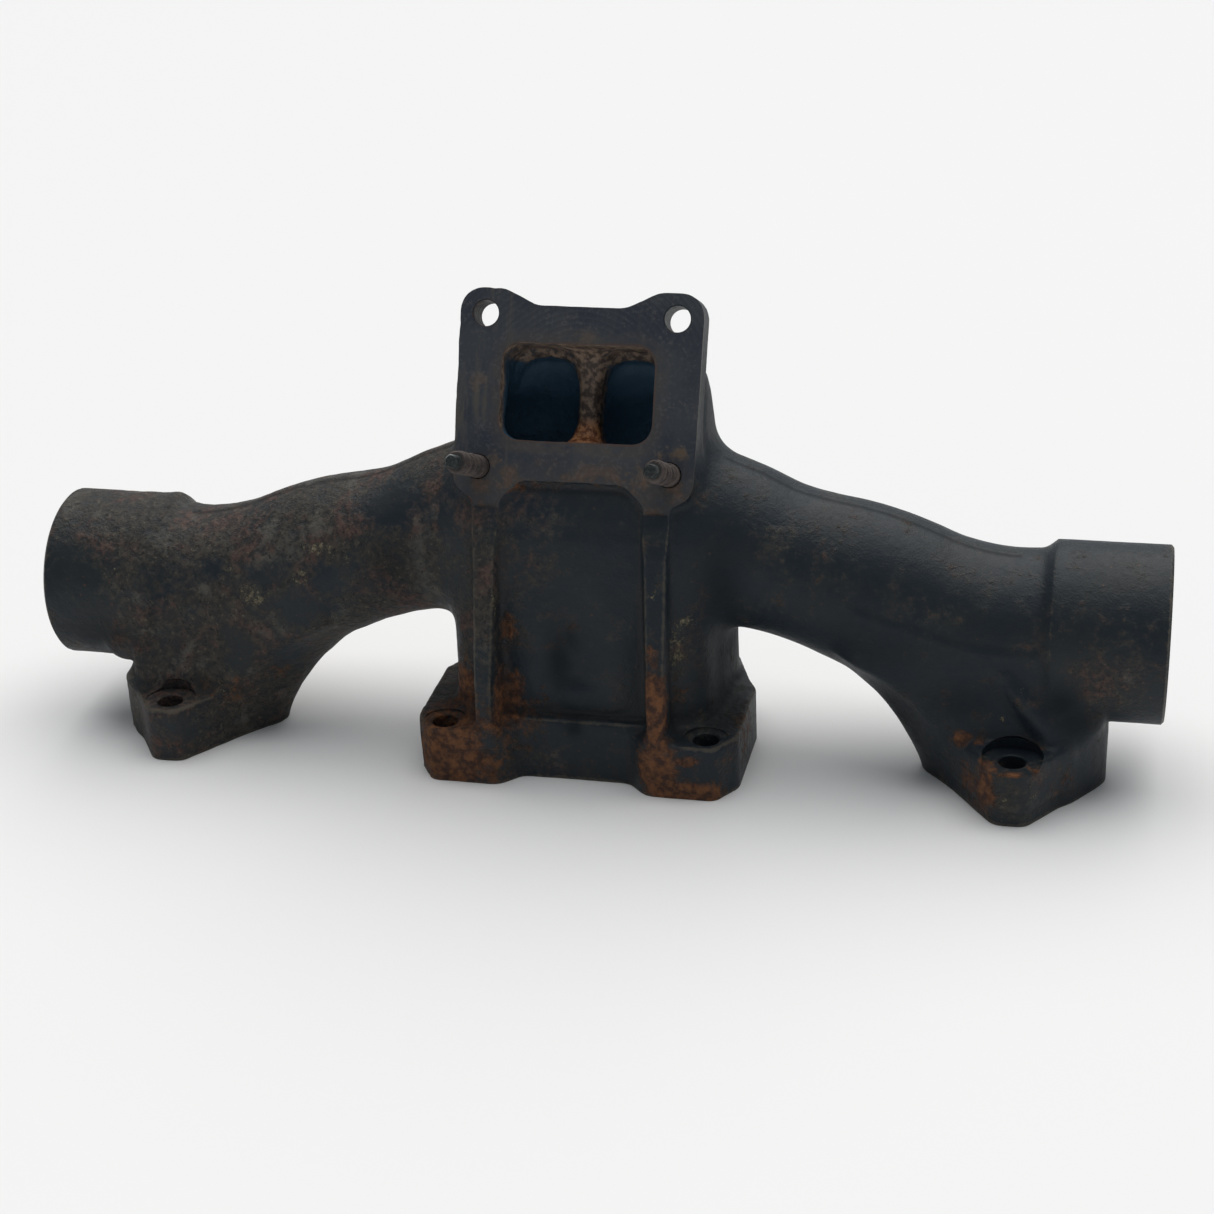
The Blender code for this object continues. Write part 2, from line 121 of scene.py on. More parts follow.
def rounded_outline(corners, steps=6):
    """Outline through (x, y, radius) corners."""
    points = []
    for i, (x, y, radius) in enumerate(corners):
        corner = np.array([x, y], float)
        before = np.array(corners[i - 1][:2], float) - corner
        after = np.array(corners[(i + 1) % len(corners)][:2], float) - corner
        before, after = before / np.linalg.norm(before), after / np.linalg.norm(after)
        if radius <= 0.0:
            points.append(corner)
            continue
        half = math.acos(np.clip(before @ after, -1, 1)) / 2
        reach = radius / math.tan(half)
        centre = corner + (before + after) / np.linalg.norm(before + after) * radius / math.sin(half)
        start, end = corner + before * reach - centre, corner + after * reach - centre
        sweep = math.acos(np.clip(start @ end / radius**2, -1, 1))
        for k in range(steps + 1):
            t = k / steps
            points.append(centre + (start * math.sin((1 - t) * sweep) + end * math.sin(t * sweep))
                          / math.sin(sweep))
    return np.array(points)


def mirrored(half):
    return half + [(-x, y, r) for x, y, r in reversed(half)]


class Grid:
    """Regular grid of field values over a box, in millimetres."""

    def __init__(self, low, high, step):
        self.step = step
        self.low = np.array(low, float)
        self.axes = [np.arange(a, b + step * 0.5, step, dtype=np.float32) for a, b in zip(low, high)]
        self.field = np.full([len(a) for a in self.axes], 60.0, np.float32)

    def window(self, low, high):
        """Slices and open coordinate arrays of the part of the grid inside a box."""
        slices = []
        for axis, a, b in zip(self.axes, low, high):
            slices.append(slice(int(np.searchsorted(axis, a)), int(np.searchsorted(axis, b))))
        x, y, z = (axis[s] for axis, s in zip(self.axes, slices))
        return tuple(slices), x[:, None, None], y[None, :, None], z[None, None, :]

    def add(self, low, high, shape, blend):
        """Unite a shape into the field with a fillet of size blend."""
        where, x, y, z = self.window(low, high)
        self.field[where] = smooth_min(self.field[where], shape(x, y, z), blend)


def trilinear(t, read):
    """Blend of a cell's eight corners; t is the place in the cell, read(o) the values at corner o."""
    total = np.zeros(len(t))
    for corner in range(8):
        o = [(corner >> k) & 1 for k in range(3)]
        weight = np.ones(len(t))
        for k in range(3):
            weight *= t[:, k] if o[k] else 1.0 - t[:, k]
        total += weight * read(o)
    return total


def sample(grid, points):
    """Trilinear reading of the grid at points."""
    f = (points - grid.low) / grid.step
    i = np.clip(np.floor(f).astype(int), 0, np.array(grid.field.shape) - 2)
    return trilinear(f - i, lambda o: grid.field[tuple((i + o).T)])


def beside(grid, points, reach):
    """Field values ahead of and behind the points, one pair per axis."""
    for offset in np.eye(3) * reach:
        yield sample(grid, points + offset), sample(grid, points - offset)


def gradient(grid, points, reach):
    return np.stack([(a - b) / (2 * reach) for a, b in beside(grid, points, reach)], axis=1)


def curvature(grid, points, reach):
    total = -6.0 * sample(grid, points)
    for ahead, behind in beside(grid, points, reach):
        total += ahead + behind
    return total / reach**2


# ---- the casting as a distance field
ARM_KEYS = [30, 50, 80, 105, 130, 150, 170, 188, 200, 210, 225, 240, 255, 273, 300, 330]
ARM_TOP = [
    187, 188.5, 192, 183.8, 172.2, 167, 163.3, 158.6, 154.4, 150.4, 144, 139.8, 137.6, 137.8, 139.1, 139.1,
]
ARM_BOTTOM = [86, 85.5, 84.2, 81.8, 74.8, 66, 57, 51.5, 49, 46.5, 43.5, 42, 41.3, 41, 41, 41]
ARM_HALF_Y = [48, 48, 48, 47.5, 47.5, 48, 49, 49, 49, 49, 49, 49, 49, 49, 49, 49]
BODY_PROFILE = [
    (-42, -6), (-42, 30), (-44, 48), (-44.5, 66), (-43.6, 104), (-41.2, 134), (-38.5, 154), (-34.5, 168),
    (-28.5, 179), (-22.5, 186.5), (-4, 224), (10.5, 255), (20, 263.5), (31, 260.5), (44, 254), (54, 244),
    (60.5, 230), (63.5, 210), (64, 165), (61, 110), (57, 66), (56, 30), (56, -6),
]
BODY_KEYS = [-8, 30, 55, 80, 105, 140, 170, 200, 240, 266]
BODY_HALF_X = [86, 85, 84.5, 84, 83, 81.5, 78.5, 75, 71.5, 67.5]
RIB_PROFILE = [
    (-65, 30), (-65.2, 52), (-64, 68), (-58.5, 90), (-51.3, 121), (-45.6, 150), (-39, 168), (-30.5, 181),
    (-24, 189), (0, 189), (0, 30),
]
FLANGE_OUTLINE = rounded_outline(mirrored([
    (31, -52.5, 14), (45, -63.5, 12), (73.1, -63.5, 13), (74.2, 61, 14), (47, 61, 18), (27, 51, 20),
]))
CENTRE_FOOT = rounded_outline(mirrored([
    (33, -51.2, 14), (46, -65.5, 14), (89, -65.5, 8), (101, -47, 13), (101.5, 18, 10), (88.5, 43.5, 12),
    (83, 65.5, 10), (46, 65.5, 14), (33, 51.2, 14),
]))
SIDE_FOOT = rounded_outline([
    (9.5, -67.5, 10), (53, -6, 12), (53, 6, 12), (9.5, 67.5, 10), (-9.5, 67.5, 10), (-53, 6, 12),
    (-53, -6, 12), (-9.5, -67.5, 10),
])


def flange_coordinates(y, z):
    dy, dz = y - FLANGE_CENTRE[1], z - FLANGE_CENTRE[2]
    v = dy * FLANGE_UP[1] + dz * FLANGE_UP[2]
    depth = -(dy * FLANGE_OUT[1] + dz * FLANGE_OUT[2])
    return v, depth


def along_arm(x, values):
    return hermite(x.ravel(), ARM_KEYS, values).reshape(x.shape)


def arm_centre(x):
    """Height of the arm's middle, and how far its slope shrinks distances."""
    centre = (along_arm(x, ARM_TOP) + along_arm(x, ARM_BOTTOM)) / 2.0
    slope = np.gradient(centre.ravel(), x.ravel()).reshape(x.shape)
    return centre, (1.0 / np.sqrt(1.0 + slope**2)).astype(np.float32)


def arm_shape(x, y, z):
    centre, shrink = arm_centre(x)
    half_z = (along_arm(x, ARM_TOP) - along_arm(x, ARM_BOTTOM)) / 2
    half_y = along_arm(x, ARM_HALF_Y)
    tube = (np.sqrt(((y - COLLAR_Y) / half_y) ** 2 + ((z - centre) / half_z) ** 2) - 1.0) * half_y * shrink
    return round_max(round_max(tube, x - 292.0, 2.0), 36.0 - x, 26.0)


def leg_shape(x, y, z):
    """Port leg from the arm down to its foot, with the arch on its inner side."""
    arch = ARCH_R - np.hypot(x - ARCH_X, z - ARCH_Z)
    centre = arm_centre(x)[0]
    fall = unit((centre - z) / (centre - FOOT_TOP))
    front = -30.4 - 7.8 * fall**0.8 - y
    rear = y - (66.0 - 28.0 * fall)
    sides = smooth_max(front, rear, 10.0)
    reach = np.sqrt(np.maximum(ARCH_R**2 - (z - ARCH_Z) ** 2, 0.0))
    lean = COLLAR_Y * unit((z - 20) / 90)
    inboard = (np.abs(y - lean) * np.where(y < lean, 1.15, 1.0) - 7.0 - (x - ARCH_X - reach) * 0.95) * 0.66
    outboard = (np.abs(y) - 7.0 - (317.5 - x) * 1.43 - np.maximum(z - 33, 0.0) * 1.1) * 0.5
    leg = round_max(sides, arch, 16.0)
    leg = round_max(leg, x - 316.5, 12.0)
    leg = smooth_max(leg, inboard, 9.0)
    leg = smooth_max(leg, outboard, 7.0)
    leg = round_max(leg, 158.0 - x, 18.0)
    return np.maximum(leg, np.maximum(z - centre - 2.0, -5.0 - z))


def from_axis(y, z):
    """Distance from the axis of the slip collars."""
    return np.hypot(y - COLLAR_Y, z - COLLAR_Z)


def collar_shape(x, y, z):
    shoulder = COLLAR_R - np.clip(282.5 - x, 0.0, 9.0) * 0.85
    return np.maximum(from_axis(y, z) - shoulder, np.maximum(273.5 - x, x - 356.0))


def body_shape(x, y, z):
    """The riser: a side profile, wider towards the back, with shallow waves low on its front."""
    profile = polygon_distance(y[0], z[0], np.array(BODY_PROFILE, float))[None]
    half = hermite(z.ravel(), BODY_KEYS, BODY_HALF_X)[None, None, :]
    fade = unit((z - 40) / 14) * unit((132 - z) / 40)
    runners = 2.1 * fade * np.cos(x * (math.pi / 23.0)) * unit((56 - x) / 12) * unit((-20 - y) / 10)
    spread = np.where(y < 18.0, 0.08, 0.19) * np.clip(y - 18.0, -40.0, 34.0) * unit((170.0 - z) / 60.0)
    return round_max(profile + runners, x - half - spread, 27.0)


def rib_shape(x, y, z):
    profile = polygon_distance(y[0], z[0], np.array(RIB_PROFILE, float))[None]
    depth = np.clip(-40.0 - y, 0.0, 26.0)
    band = np.maximum(44.6 + depth * 0.14 - x, x - 59.6 + depth * 0.03)
    return round_max(profile, band, 2.6)


def flange_shape(x, y, z):
    v, depth = flange_coordinates(y, z)
    outline = polygon_distance(x + 0 * v, v + 0 * x, FLANGE_OUTLINE)
    return np.maximum(round_max(outline, depth - FLANGE_THICKNESS, 2.0), -3.0 - depth)


def prism_shape(outline, shift, top, edge):
    def shape(x, y, z):
        plan = polygon_distance((x - shift)[..., 0], y[..., 0], outline)[..., None]
        return np.maximum(round_max(plan, z - top, edge), -5.0 - z)
    return shape


def web_shape(x, y, z):
    front = -51.2 - y
    web = round_max(round_max(front, z - 40.2, 2.0), np.maximum(x - 46.5, y + 30.0), 3.0)
    return np.maximum(web, -5.0 - z)


def outer_field(grid):
    grid.add((20, -60, 10), (312, 84, 215), arm_shape, 1.0)
    grid.add((0, -64, -12), (124, 84, 296), body_shape, 16.0)
    grid.add((130, -64, -12), (340, 84, 150), leg_shape, 9.0)
    grid.add((262, -56, 20), (362, 84, 160), collar_shape, 2.5)
    grid.add((0, -70, 155), (96, 64, 302), flange_shape, 7.0)
    grid.add((28, -82, 12), (80, 16, 205), rib_shape, 5.0)
    grid.add((0, -84, -12), (118, 84, 56), prism_shape(CENTRE_FOOT, 0.0, FOOT_TOP, 2.2), 9.0)
    grid.add((0, -64, -12), (56, -12, 56), web_shape, 3.5)
    grid.add((196, -84, -12), (334, 84, 60), prism_shape(SIDE_FOOT, SIDE_FOOT_X, FOOT_TOP, 2.2), 6.0)


def chain_shape(points):
    """Tube through (x, y, z, radius) points."""
    def shape(x, y, z):
        result = None
        for start, end in zip(points, points[1:]):
            a, b = np.array(start[:3], float), np.array(end[:3], float)
            axis = b - a
            t = ((x - a[0]) * axis[0] + (y - a[1]) * axis[1] + (z - a[2]) * axis[2]) / (axis @ axis)
            t = unit(t)
            away = np.sqrt((x - a[0] - t * axis[0]) ** 2 + (y - a[1] - t * axis[1]) ** 2
                           + (z - a[2] - t * axis[2]) ** 2)
            piece = away - (start[3] + t * (end[3] - start[3]))
            result = piece if result is None else smooth_min(result, piece, 6.0)
        return result
    return shape


def slot_shape(half_x, low_v, high_v, radius, shift, start, end):
    """Rounded rectangular tunnel along the flange axis."""
    def shape(x, y, z):
        v, depth = flange_coordinates(y, z)
        u = np.abs(x - shift) - (half_x - radius)
        w = np.abs(v - (low_v + high_v) / 2) - ((high_v - low_v) / 2 - radius)
        ring = np.hypot(np.maximum(u, 0), np.maximum(w, 0)) + np.minimum(np.maximum(u, w), 0) - radius
        return np.maximum(ring, np.maximum(start - depth, depth - end))
    return shape


def divider_shape(x, y, z):
    """Wall between the two gas passages, seen through the turbo port."""
    v, depth = flange_coordinates(y, z)
    nose = 33.0 - 8.0 * np.clip(-v / 28.9, 0, 1.2) ** 3 - 10.0 * np.clip(v / 28.9, 0, 1.2) ** 2
    flare = 5.0 * np.clip((np.abs(v + 2.0) - 10.0) / 17.0, 0.0, 1.3) ** 2
    return round_max(x - 4.7 - flare - 0.05 * (depth - nose), nose - depth, 4.2)


def passage_field(grid):
    duct = [(27, *on_flange(0, -3, 36)[1:], 23.5), (32, 25, 199, 27), (38, 19, 172, 30), (42, 12, 145, 33),
            (44, 6, 110, 34), (46, 2, 72, 29), (46, 0, 36, 25), (46, 0, -10, 25)]
    grid.add((0, -50, 190), (60, 60, 280), slot_shape(46.5, -28.9, 28.9, 12, 0.0, -12.0, 34.0), 0.5)
    grid.add((0, -50, 180), (60, 70, 270), slot_shape(20.0, -28.9, 23.0, 15, 26.5, 24.0, 47.0), 7.0)
    grid.add((0, -60, -12), (100, 84, 260), chain_shape(duct), 7.0)

    def arm_bore(x, y, z):
        centre, shrink = arm_centre(x)
        tube = np.hypot(y - COLLAR_Y, (z - centre) * shrink) - 38.5
        return round_max(tube, np.maximum(46.0 - x, x - 292.0), 6.0)

    grid.add((20, -52, 20), (312, 84, 212), arm_bore, 9.0)
    grid.add((205, -64, -12), (334, 84, 150),
             chain_shape([(264.5, 0, -10, 26), (264.5, 0, 34, 26), (264.5, 12, 86, 37)]), 8.0)
    where, x, y, z = grid.window((0, -60, 180), (60, 76, 280))
    grid.field[where] = smooth_max(grid.field[where], -divider_shape(x, y, z), 11.0)


def build_field():
    low, high = (0.0, -84.0, -12.0), (362.0, 84.0, 302.0)
    outside, passages = Grid(low, high, VOXEL), Grid(low, high, VOXEL)
    outer_field(outside)
    passage_field(passages)
    outside.field = np.maximum(outside.field, -passages.field)
    for grid in (outside, passages):
        grid.field = np.concatenate([grid.field[:0:-1], grid.field], axis=0)
        grid.axes[0] = np.concatenate([-grid.axes[0][:0:-1], grid.axes[0]])
        grid.low = np.array([a[0] for a in grid.axes], float)
    return outside, passages


def one_sided_details(grid):
    """Things the casting has on one side only."""
    plate = rounded_outline([(9, -67, 10), (45, -20, 12), (-45, -20, 12), (-9, -67, 10)])
    grid.add((216, -84, 10), (316, -14, 60), prism_shape(plate, SIDE_FOOT_X, 39.4, 2.5), 6.0)

    def brow(x, y, z):
        return np.sqrt(((x - 277 + 0.7 * (z - 55)) / 7.0) ** 2 + ((y + 36) / 5.5) ** 2
                       + ((z - 56) / 19.0) ** 2) * 5.5 - 5.5

    grid.add((245, -56, 30), (310, -22, 84), brow, 7.0)

    def left_shoulder(x, y, z):
        cone = COLLAR_R - unit((-284.0 - x) / 3.0) * 1.6
        cone = cone - unit((x + 280.0) / 8.0) * 6.0
        return np.maximum((from_axis(y, z) - cone) * 0.9, np.maximum(x + 270.0, -x - 290.0))

    grid.add((-300, -46, 26), (-255, 80, 154), left_shoulder, 3.0)

    def outside_left(x, y, z):
        edge = x + 309.0 + 0.42 * np.minimum(y, 0.0) * unit((z - 34.0) / 10.0)
        return np.maximum(edge, np.maximum(COLLAR_R + 3.4 - from_axis(y, z), z - 84.0))

    where, x, y, z = grid.window((-346, -84, -12), (-290, 84, 96))
    grid.field[where] = smooth_max(grid.field[where], -outside_left(x, y, z), 3.2)

    def pad(x, y, z):
        return np.sqrt(((x - 4) / 19) ** 2 + ((y + 42.5) / 4.6) ** 2 + ((z - 54) / 8.5) ** 2) * 4.6 - 4.6

    grid.add((-26, -60, 38), (34, -30, 74), pad, 4.0)


# ---- field to mesh
def surface_net(grid):
    """Vertices and quads of the zero level of the grid's field."""
    f = grid.field
    inside = f < 0
    nx, ny, nz = f.shape
    corners = [(i, j, k) for i in (0, 1) for j in (0, 1) for k in (0, 1)]
    count = np.zeros((nx - 1, ny - 1, nz - 1), np.int8)
    for i, j, k in corners:
        count += inside[i:nx - 1 + i, j:ny - 1 + j, k:nz - 1 + k]
    active = (count > 0) & (count < 8)
    cells = np.argwhere(active)
    number = np.full(active.shape, -1, np.int32)
    number[active] = np.arange(len(cells))
    values = {c: f[cells[:, 0] + c[0], cells[:, 1] + c[1], cells[:, 2] + c[2]] for c in corners}
    total = np.zeros((len(cells), 3))
    crossings = np.zeros(len(cells))
    for a in corners:
        for axis in range(3):
            if a[axis]:
                continue
            b = tuple(a[k] + (k == axis) for k in range(3))
            fa, fb = values[a], values[b]
            cross = (fa < 0) != (fb < 0)
            t = np.where(cross, fa / np.where(cross, fa - fb, 1.0), 0.0)
            point = np.array(a, float) + t[:, None] * np.eye(3)[axis]
            total += point * cross[:, None]
            crossings += cross
    vertices = grid.low + (cells + total / crossings[:, None]) * grid.step
    quads = []
    for axis in range(3):
        u, w = (axis + 1) % 3, (axis + 2) % 3
        first = [slice(1, -1)] * 3
        first[axis] = slice(0, f.shape[axis] - 1)
        second = list(first)
        second[axis] = slice(1, f.shape[axis])
        start, end = inside[tuple(first)], inside[tuple(second)]
        for flip in (False, True):
            edges = np.argwhere((start & ~end) if not flip else (~start & end))
            edges[:, u] += 1
            edges[:, w] += 1
            ring = []
            for du, dw in ((-1, -1), (0, -1), (0, 0), (-1, 0)):
                cell = edges.copy()
                cell[:, u] += du
                cell[:, w] += dw
                ring.append(number[cell[:, 0], cell[:, 1], cell[:, 2]])
            quads.append(np.stack(ring if not flip else ring[::-1], axis=1))
    quads = np.concatenate(quads)
    return vertices, quads


def relax(grid, vertices, quads, rounds=2):
    """Even out the net, then put it back on the surface."""
    for _ in range(rounds):
        total, hits = np.zeros_like(vertices), np.zeros(len(vertices))
        for k in range(4):
            np.add.at(total, quads[:, k], vertices[quads[:, (k + 1) % 4]])
            np.add.at(hits, quads[:, k], 1)
        vertices = vertices + 0.5 * (total / hits[:, None] - vertices)
        for _ in range(2):
            slope = gradient(grid, vertices, grid.step * 0.6)
            steep = np.maximum((slope**2).sum(1), 0.15)
            vertices = vertices - slope * (sample(grid, vertices) / steep)[:, None]
    return vertices


class Noise:
    """Smooth random field on a wrapped lattice."""

    def __init__(self, seed, size=48):
        self.size = size
        self.values = np.random.default_rng(seed).uniform(-1.0, 1.0, (size, size, size))

    def __call__(self, points, scale):
        f = points / scale
        i = np.floor(f).astype(int)
        t = f - i
        t = t * t * (3 - 2 * t)
        return trilinear(t, lambda o: self.values[tuple(((i + o) % self.size).T)])


def blob(points, centre, size):
    """Soft spot from 1 at its centre to 0, size in mm per axis."""
    q = (((points - np.array(centre, float)) / np.array(size, float)) ** 2).sum(1)
    return np.exp(-q)


def link_object(name, data):
    obj = bpy.data.objects.new(name, data)
    bpy.context.scene.collection.objects.link(obj)
    return obj


def make_mesh(name, vertices, faces):
    mesh = bpy.data.meshes.new(name)
    vertices, faces = np.asarray(vertices, np.float32), np.asarray(faces, np.int32)
    mesh.vertices.add(len(vertices))
    mesh.vertices.foreach_set("co", (vertices * MM).ravel())
    mesh.loops.add(faces.size)
    mesh.loops.foreach_set("vertex_index", faces.ravel())
    mesh.polygons.add(len(faces))
    mesh.polygons.foreach_set("loop_start", np.arange(0, faces.size, faces.shape[1], dtype=np.int32))
    mesh.update(calc_edges=True)
    mesh.validate()
    return link_object(name, mesh)


def object_from(name, bm):
    """Object that holds what the bmesh holds."""
    mesh = bpy.data.meshes.new(name)
    bm.to_mesh(mesh)
    bm.free()
    return link_object(name, mesh)


def skin_faces(rows, count, capped):
    """Faces between rows of count points, ending in caps or running round to the first row."""
    faces = []
    for row in range(rows - 1 if capped else rows):
        low, high = row * count, (row + 1) % rows * count
        for k in range(count):
            m = (k + 1) % count
            faces.append((low + k, low + m, high + m, high + k))
    if capped:
        faces.append(tuple(range(count))[::-1])
        faces.append(tuple((rows - 1) * count + k for k in range(count)))
    return faces


def solid_object(name, parts):
    bm = bmesh.new()
    for vertices, faces in parts:
        made = [bm.verts.new([c * MM for c in v]) for v in vertices]
        for face in faces:
            bm.faces.new([made[i] for i in face])
    bmesh.ops.recalc_face_normals(bm, faces=bm.faces)
    return object_from(name, bm)


# ---- machining cutters
def lathe_parts(profile, origin, axis, segments):
    """Closed solid of revolution; the profile is (radius, distance along the axis)."""
    axis = Vector(axis).normalized()
    across = axis.orthogonal().normalized()
    along = axis.cross(across)
    vertices = []
    for radius, reach in profile:
        for k in range(segments):
            turn = math.tau * k / segments
            p = Vector(origin) + axis * reach + (across * math.cos(turn) + along * math.sin(turn)) * radius
            vertices.append(tuple(p))
    return vertices, skin_faces(len(profile), segments, True)


def box_parts(corners):
    faces = [(0, 1, 3, 2), (4, 6, 7, 5), (0, 4, 5, 1), (2, 3, 7, 6), (0, 2, 6, 4), (1, 5, 7, 3)]
    return [tuple(c) for c in corners], faces


def cut(target, cutter):
    modifier = target.modifiers.new("cut", "BOOLEAN")
    modifier.solver = "MANIFOLD"
    modifier.operation = "DIFFERENCE"
    modifier.object = cutter
    evaluated = target.evaluated_get(bpy.context.evaluated_depsgraph_get())
    mesh = bpy.data.meshes.new_from_object(evaluated)
    target.modifiers.clear()
    old = target.data
    target.data = mesh
    bpy.data.meshes.remove(old)
    bpy.data.objects.remove(cutter, do_unlink=True)


def bolt_hole(x, y, spot, reach, roof):
    """Bolt hole with a spotface; roof is the size of the chamfer at the top of the cleared wall."""
    top = SEAT_Z + reach
    profile = [(BOLT_HOLE_R, -12), (BOLT_HOLE_R, SEAT_Z - 0.8), (BOLT_HOLE_R + 0.8, SEAT_Z), (spot, SEAT_Z),
               (spot, top - roof), (spot - roof, top), (0.1, top + 0.1)]
    return lathe_parts(profile, (x, y, 0), (0, 0, 1), 64)


def machine(casting):
    """Cut the machined faces, bores and holes, with clean edges."""
    under = box_parts([(x, y, z) for x in (-345, 345) for y in (-80, 80) for z in (-30, 0)])
    slab = box_parts([on_flange(x, v, d) for x in (-80, 80) for v in (-70, 68) for d in (-14, 0)])
    ends = []
    for side in (-1, 1):
        profile = [(0.1, 20), (75, 20), (75, -2), (COLLAR_R + 0.6, -2), (COLLAR_R - 1.6, 0),
                   (COLLAR_BORE_R + 1.2, 0), (COLLAR_BORE_R, -1.2)]
        for start in reversed(RING_X):
            outer, inner = start + 5.3 - HALF_LENGTH, start - 0.3 - HALF_LENGTH
            profile += [(COLLAR_BORE_R, outer), (GROOVE_R, outer), (GROOVE_R, inner), (COLLAR_BORE_R, inner)]
        profile += [(COLLAR_BORE_R, -64), (0.1, -64)]
        ends.append(lathe_parts(profile, (side * HALF_LENGTH, COLLAR_Y, COLLAR_Z), (side, 0, 0), 128))
    cut(casting, solid_object("planes", [under, slab] + ends))
    holes = []
    # per bolt: its X, spotface radius on the left and on the right, height cleared above the seat, chamfer
    for front, rear in (
        ((SIDE_FOOT_X, 16.5, 18.0, 11.0, 5.0), (SIDE_FOOT_X, 15.0, 15.0, 13.0, 5.0)),
        ((CENTRE_BOLT_X, 13.8, 13.8, 40.0, 0.0), (CENTRE_REAR_BOLT_X, 11.0, 11.0, 38.0, 0.0)),
    ):
        for side in (-1, 1):
            for y, (x, left, right, reach, roof) in ((-BOLT_Y, front), (BOLT_Y, rear)):
                holes.append(bolt_hole(side * x, y, right if side > 0 else left, reach, roof))
    r = FLANGE_HOLE_R
    open_hole = [(r + 1.5, -2), (r + 0.7, 0), (r, 0.7), (r, 45)]
    stud_hole = [(STUD_R + 1.0, -1), (STUD_R + 0.3, 0.2), (STUD_R + 0.2, 1.2), (STUD_R + 0.2, 22.3)]
    for side in (-1, 1):
        for profile, v in ((open_hole, FLANGE_HOLE_V), (stud_hole, -FLANGE_HOLE_V)):
            holes.append(lathe_parts(profile, on_flange(side * FLANGE_HOLE_X, v), -FLANGE_OUT, 48))
    cut(casting, solid_object("holes", holes))


# ---- surface marks
def rows_of(items, name):
    """A vector property of every vertex or face."""
    values = np.zeros(len(items) * 3, np.float32)
    items.foreach_get(name, values)
    return values.reshape(-1, 3).astype(float)


def store(mesh, name, values):
    attribute = mesh.attributes.new(name, "FLOAT", "POINT")
    attribute.data.foreach_set("value", unit(values).astype(np.float32))


def one_side(points, side):
    """1 on the side of the given sign, fading to 0 over the middle."""
    return unit(0.5 + side * points[:, 0] / 40.0)


# Soft patches of surface state, painted shade and painted highlights. Each row is an amount, a centre and a
# half size, in millimetres.
RUST_PATCHES = [
    (1.25, -76, -60, 20, 28, 24, 28), (0.9, -76, -34, 50, 22, 16, 24), (0.9, -40, -50, 52, 12, 14, 24),
    (0.7, -56, -54, 40, 40, 22, 26), (1.5, 53, -64, 60, 8, 14, 26), (0.7, 52, -58, 88, 6, 10, 12),
    (1.1, 54, -66, 22, 14, 12, 24), (1.2, 72, -66, 4, 30, 10, 8), (0.8, 70, -66, 26, 12, 8, 5),
    (0.75, -41, -44, 98, 6, 6, 12), (0.95, 234, -38, 40, 8, 8, 6), (0.95, 243, -40, 36, 6, 8, 6),
    (1.0, 250, -60, 20, 9, 12, 22), (0.65, 240, -47, 18, 10, 12, 18), (1.5, 248, -57, 36, 4, 4, 2.5),
    (1.5, 256, -64, 35.5, 6, 3, 2.2), (1.5, 266, -67, 35.5, 7, 3, 2.2), (1.6, 276, -61, 35.5, 4, 3.4, 2.2),
    (0.6, 280, -37, 39, 8, 10, 4), (0.45, 296, -38, 13, 18, 12, 12), (0.15, -262, -64, 8, 16, 8, 9),
    (0.95, -53, -31, 180, 13, 10, 6), (0.8, -36, -30, 184, 12, 8, 5), (0.45, 0, -22, 187, 30, 6, 3),
    (0.45, -230, -34, 34, 34, 14, 12), (0.5, 101, -20, 24, 9, 30, 20), (0.35, 64, -44, 60, 12, 10, 14),
    (0.4, -8, -48, 41, 10, 8, 2), (0.5, -205, -10, 44, 12, 26, 14), (0.5, 0, 56, 14, 95, 12, 16),
    (0.5, 0, 50, 150, 70, 18, 40), (0.45, -264, 60, 40, 40, 14, 16), (0.45, 264, 60, 40, 40, 14, 16),
]
BROWN_PATCHES = [
    (0.95, -290, 5, 140, 26, 26, 16), (0.85, -268, -16, 124, 22, 22, 18), (0.9, -226, -16, 128, 30, 24, 20),
    (1.1, -234, -30, 102, 17, 16, 13), (0.9, -243, -32, 86, 10, 12, 12), (0.6, -200, -22, 138, 26, 22, 14),
    (0.9, -222, -33, 34, 26, 14, 14), (0.75, -240, -36, 48, 18, 12, 16), (0.6, -160, -20, 150, 30, 20, 12),
    (0.5, -94, 0, 178, 26, 22, 14), (0.55, -60, -40, 80, 22, 20, 60), (0.5, 70, -40, 96, 14, 14, 22),
    (0.4, -22, -34, 166, 26, 20, 24), (0.3, -30, -42, 130, 16, 14, 24), (0.6, 262, -67, 18, 14, 6, 16),
    (0.45, 276, -60, 20, 20, 14, 16), (0.9, -52, -50, 112, 9, 14, 60), (0.5, 320, -36, 84, 28, 14, 22),
    (0.3, 118, -20, 158, 22, 14, 12), (0.3, 90, -40, 40, 24, 24, 26), (0.35, 0, 50, 120, 110, 40, 90),
    (0.4, -150, 60, 100, 120, 30, 60), (0.3, 200, 60, 90, 100, 30, 50),
]
CLEAN_PATCHES = [
    (0.6, -197, -30, 118, 18, 14, 9), (0.75, -177, -33, 96, 19, 14, 15), (0.4, -237, -28, 116, 15, 12, 8),
    (0.5, -271, -30, 104, 13, 12, 19), (0.8, -221, -37, 62, 8, 12, 14), (1.0, -117, -14, 164, 24, 18, 14),
    (1.0, -330, -30, 90, 26, 30, 42), (0.8, -155, -32, 118, 16, 12, 10), (0.8, -262, -60, 14, 14, 12, 20),
    (0.7, -190, -20, 60, 14, 20, 18), (0.9, 0, -44, 66, 34, 14, 34), (0.6, 18, -44, 120, 24, 14, 40),
]
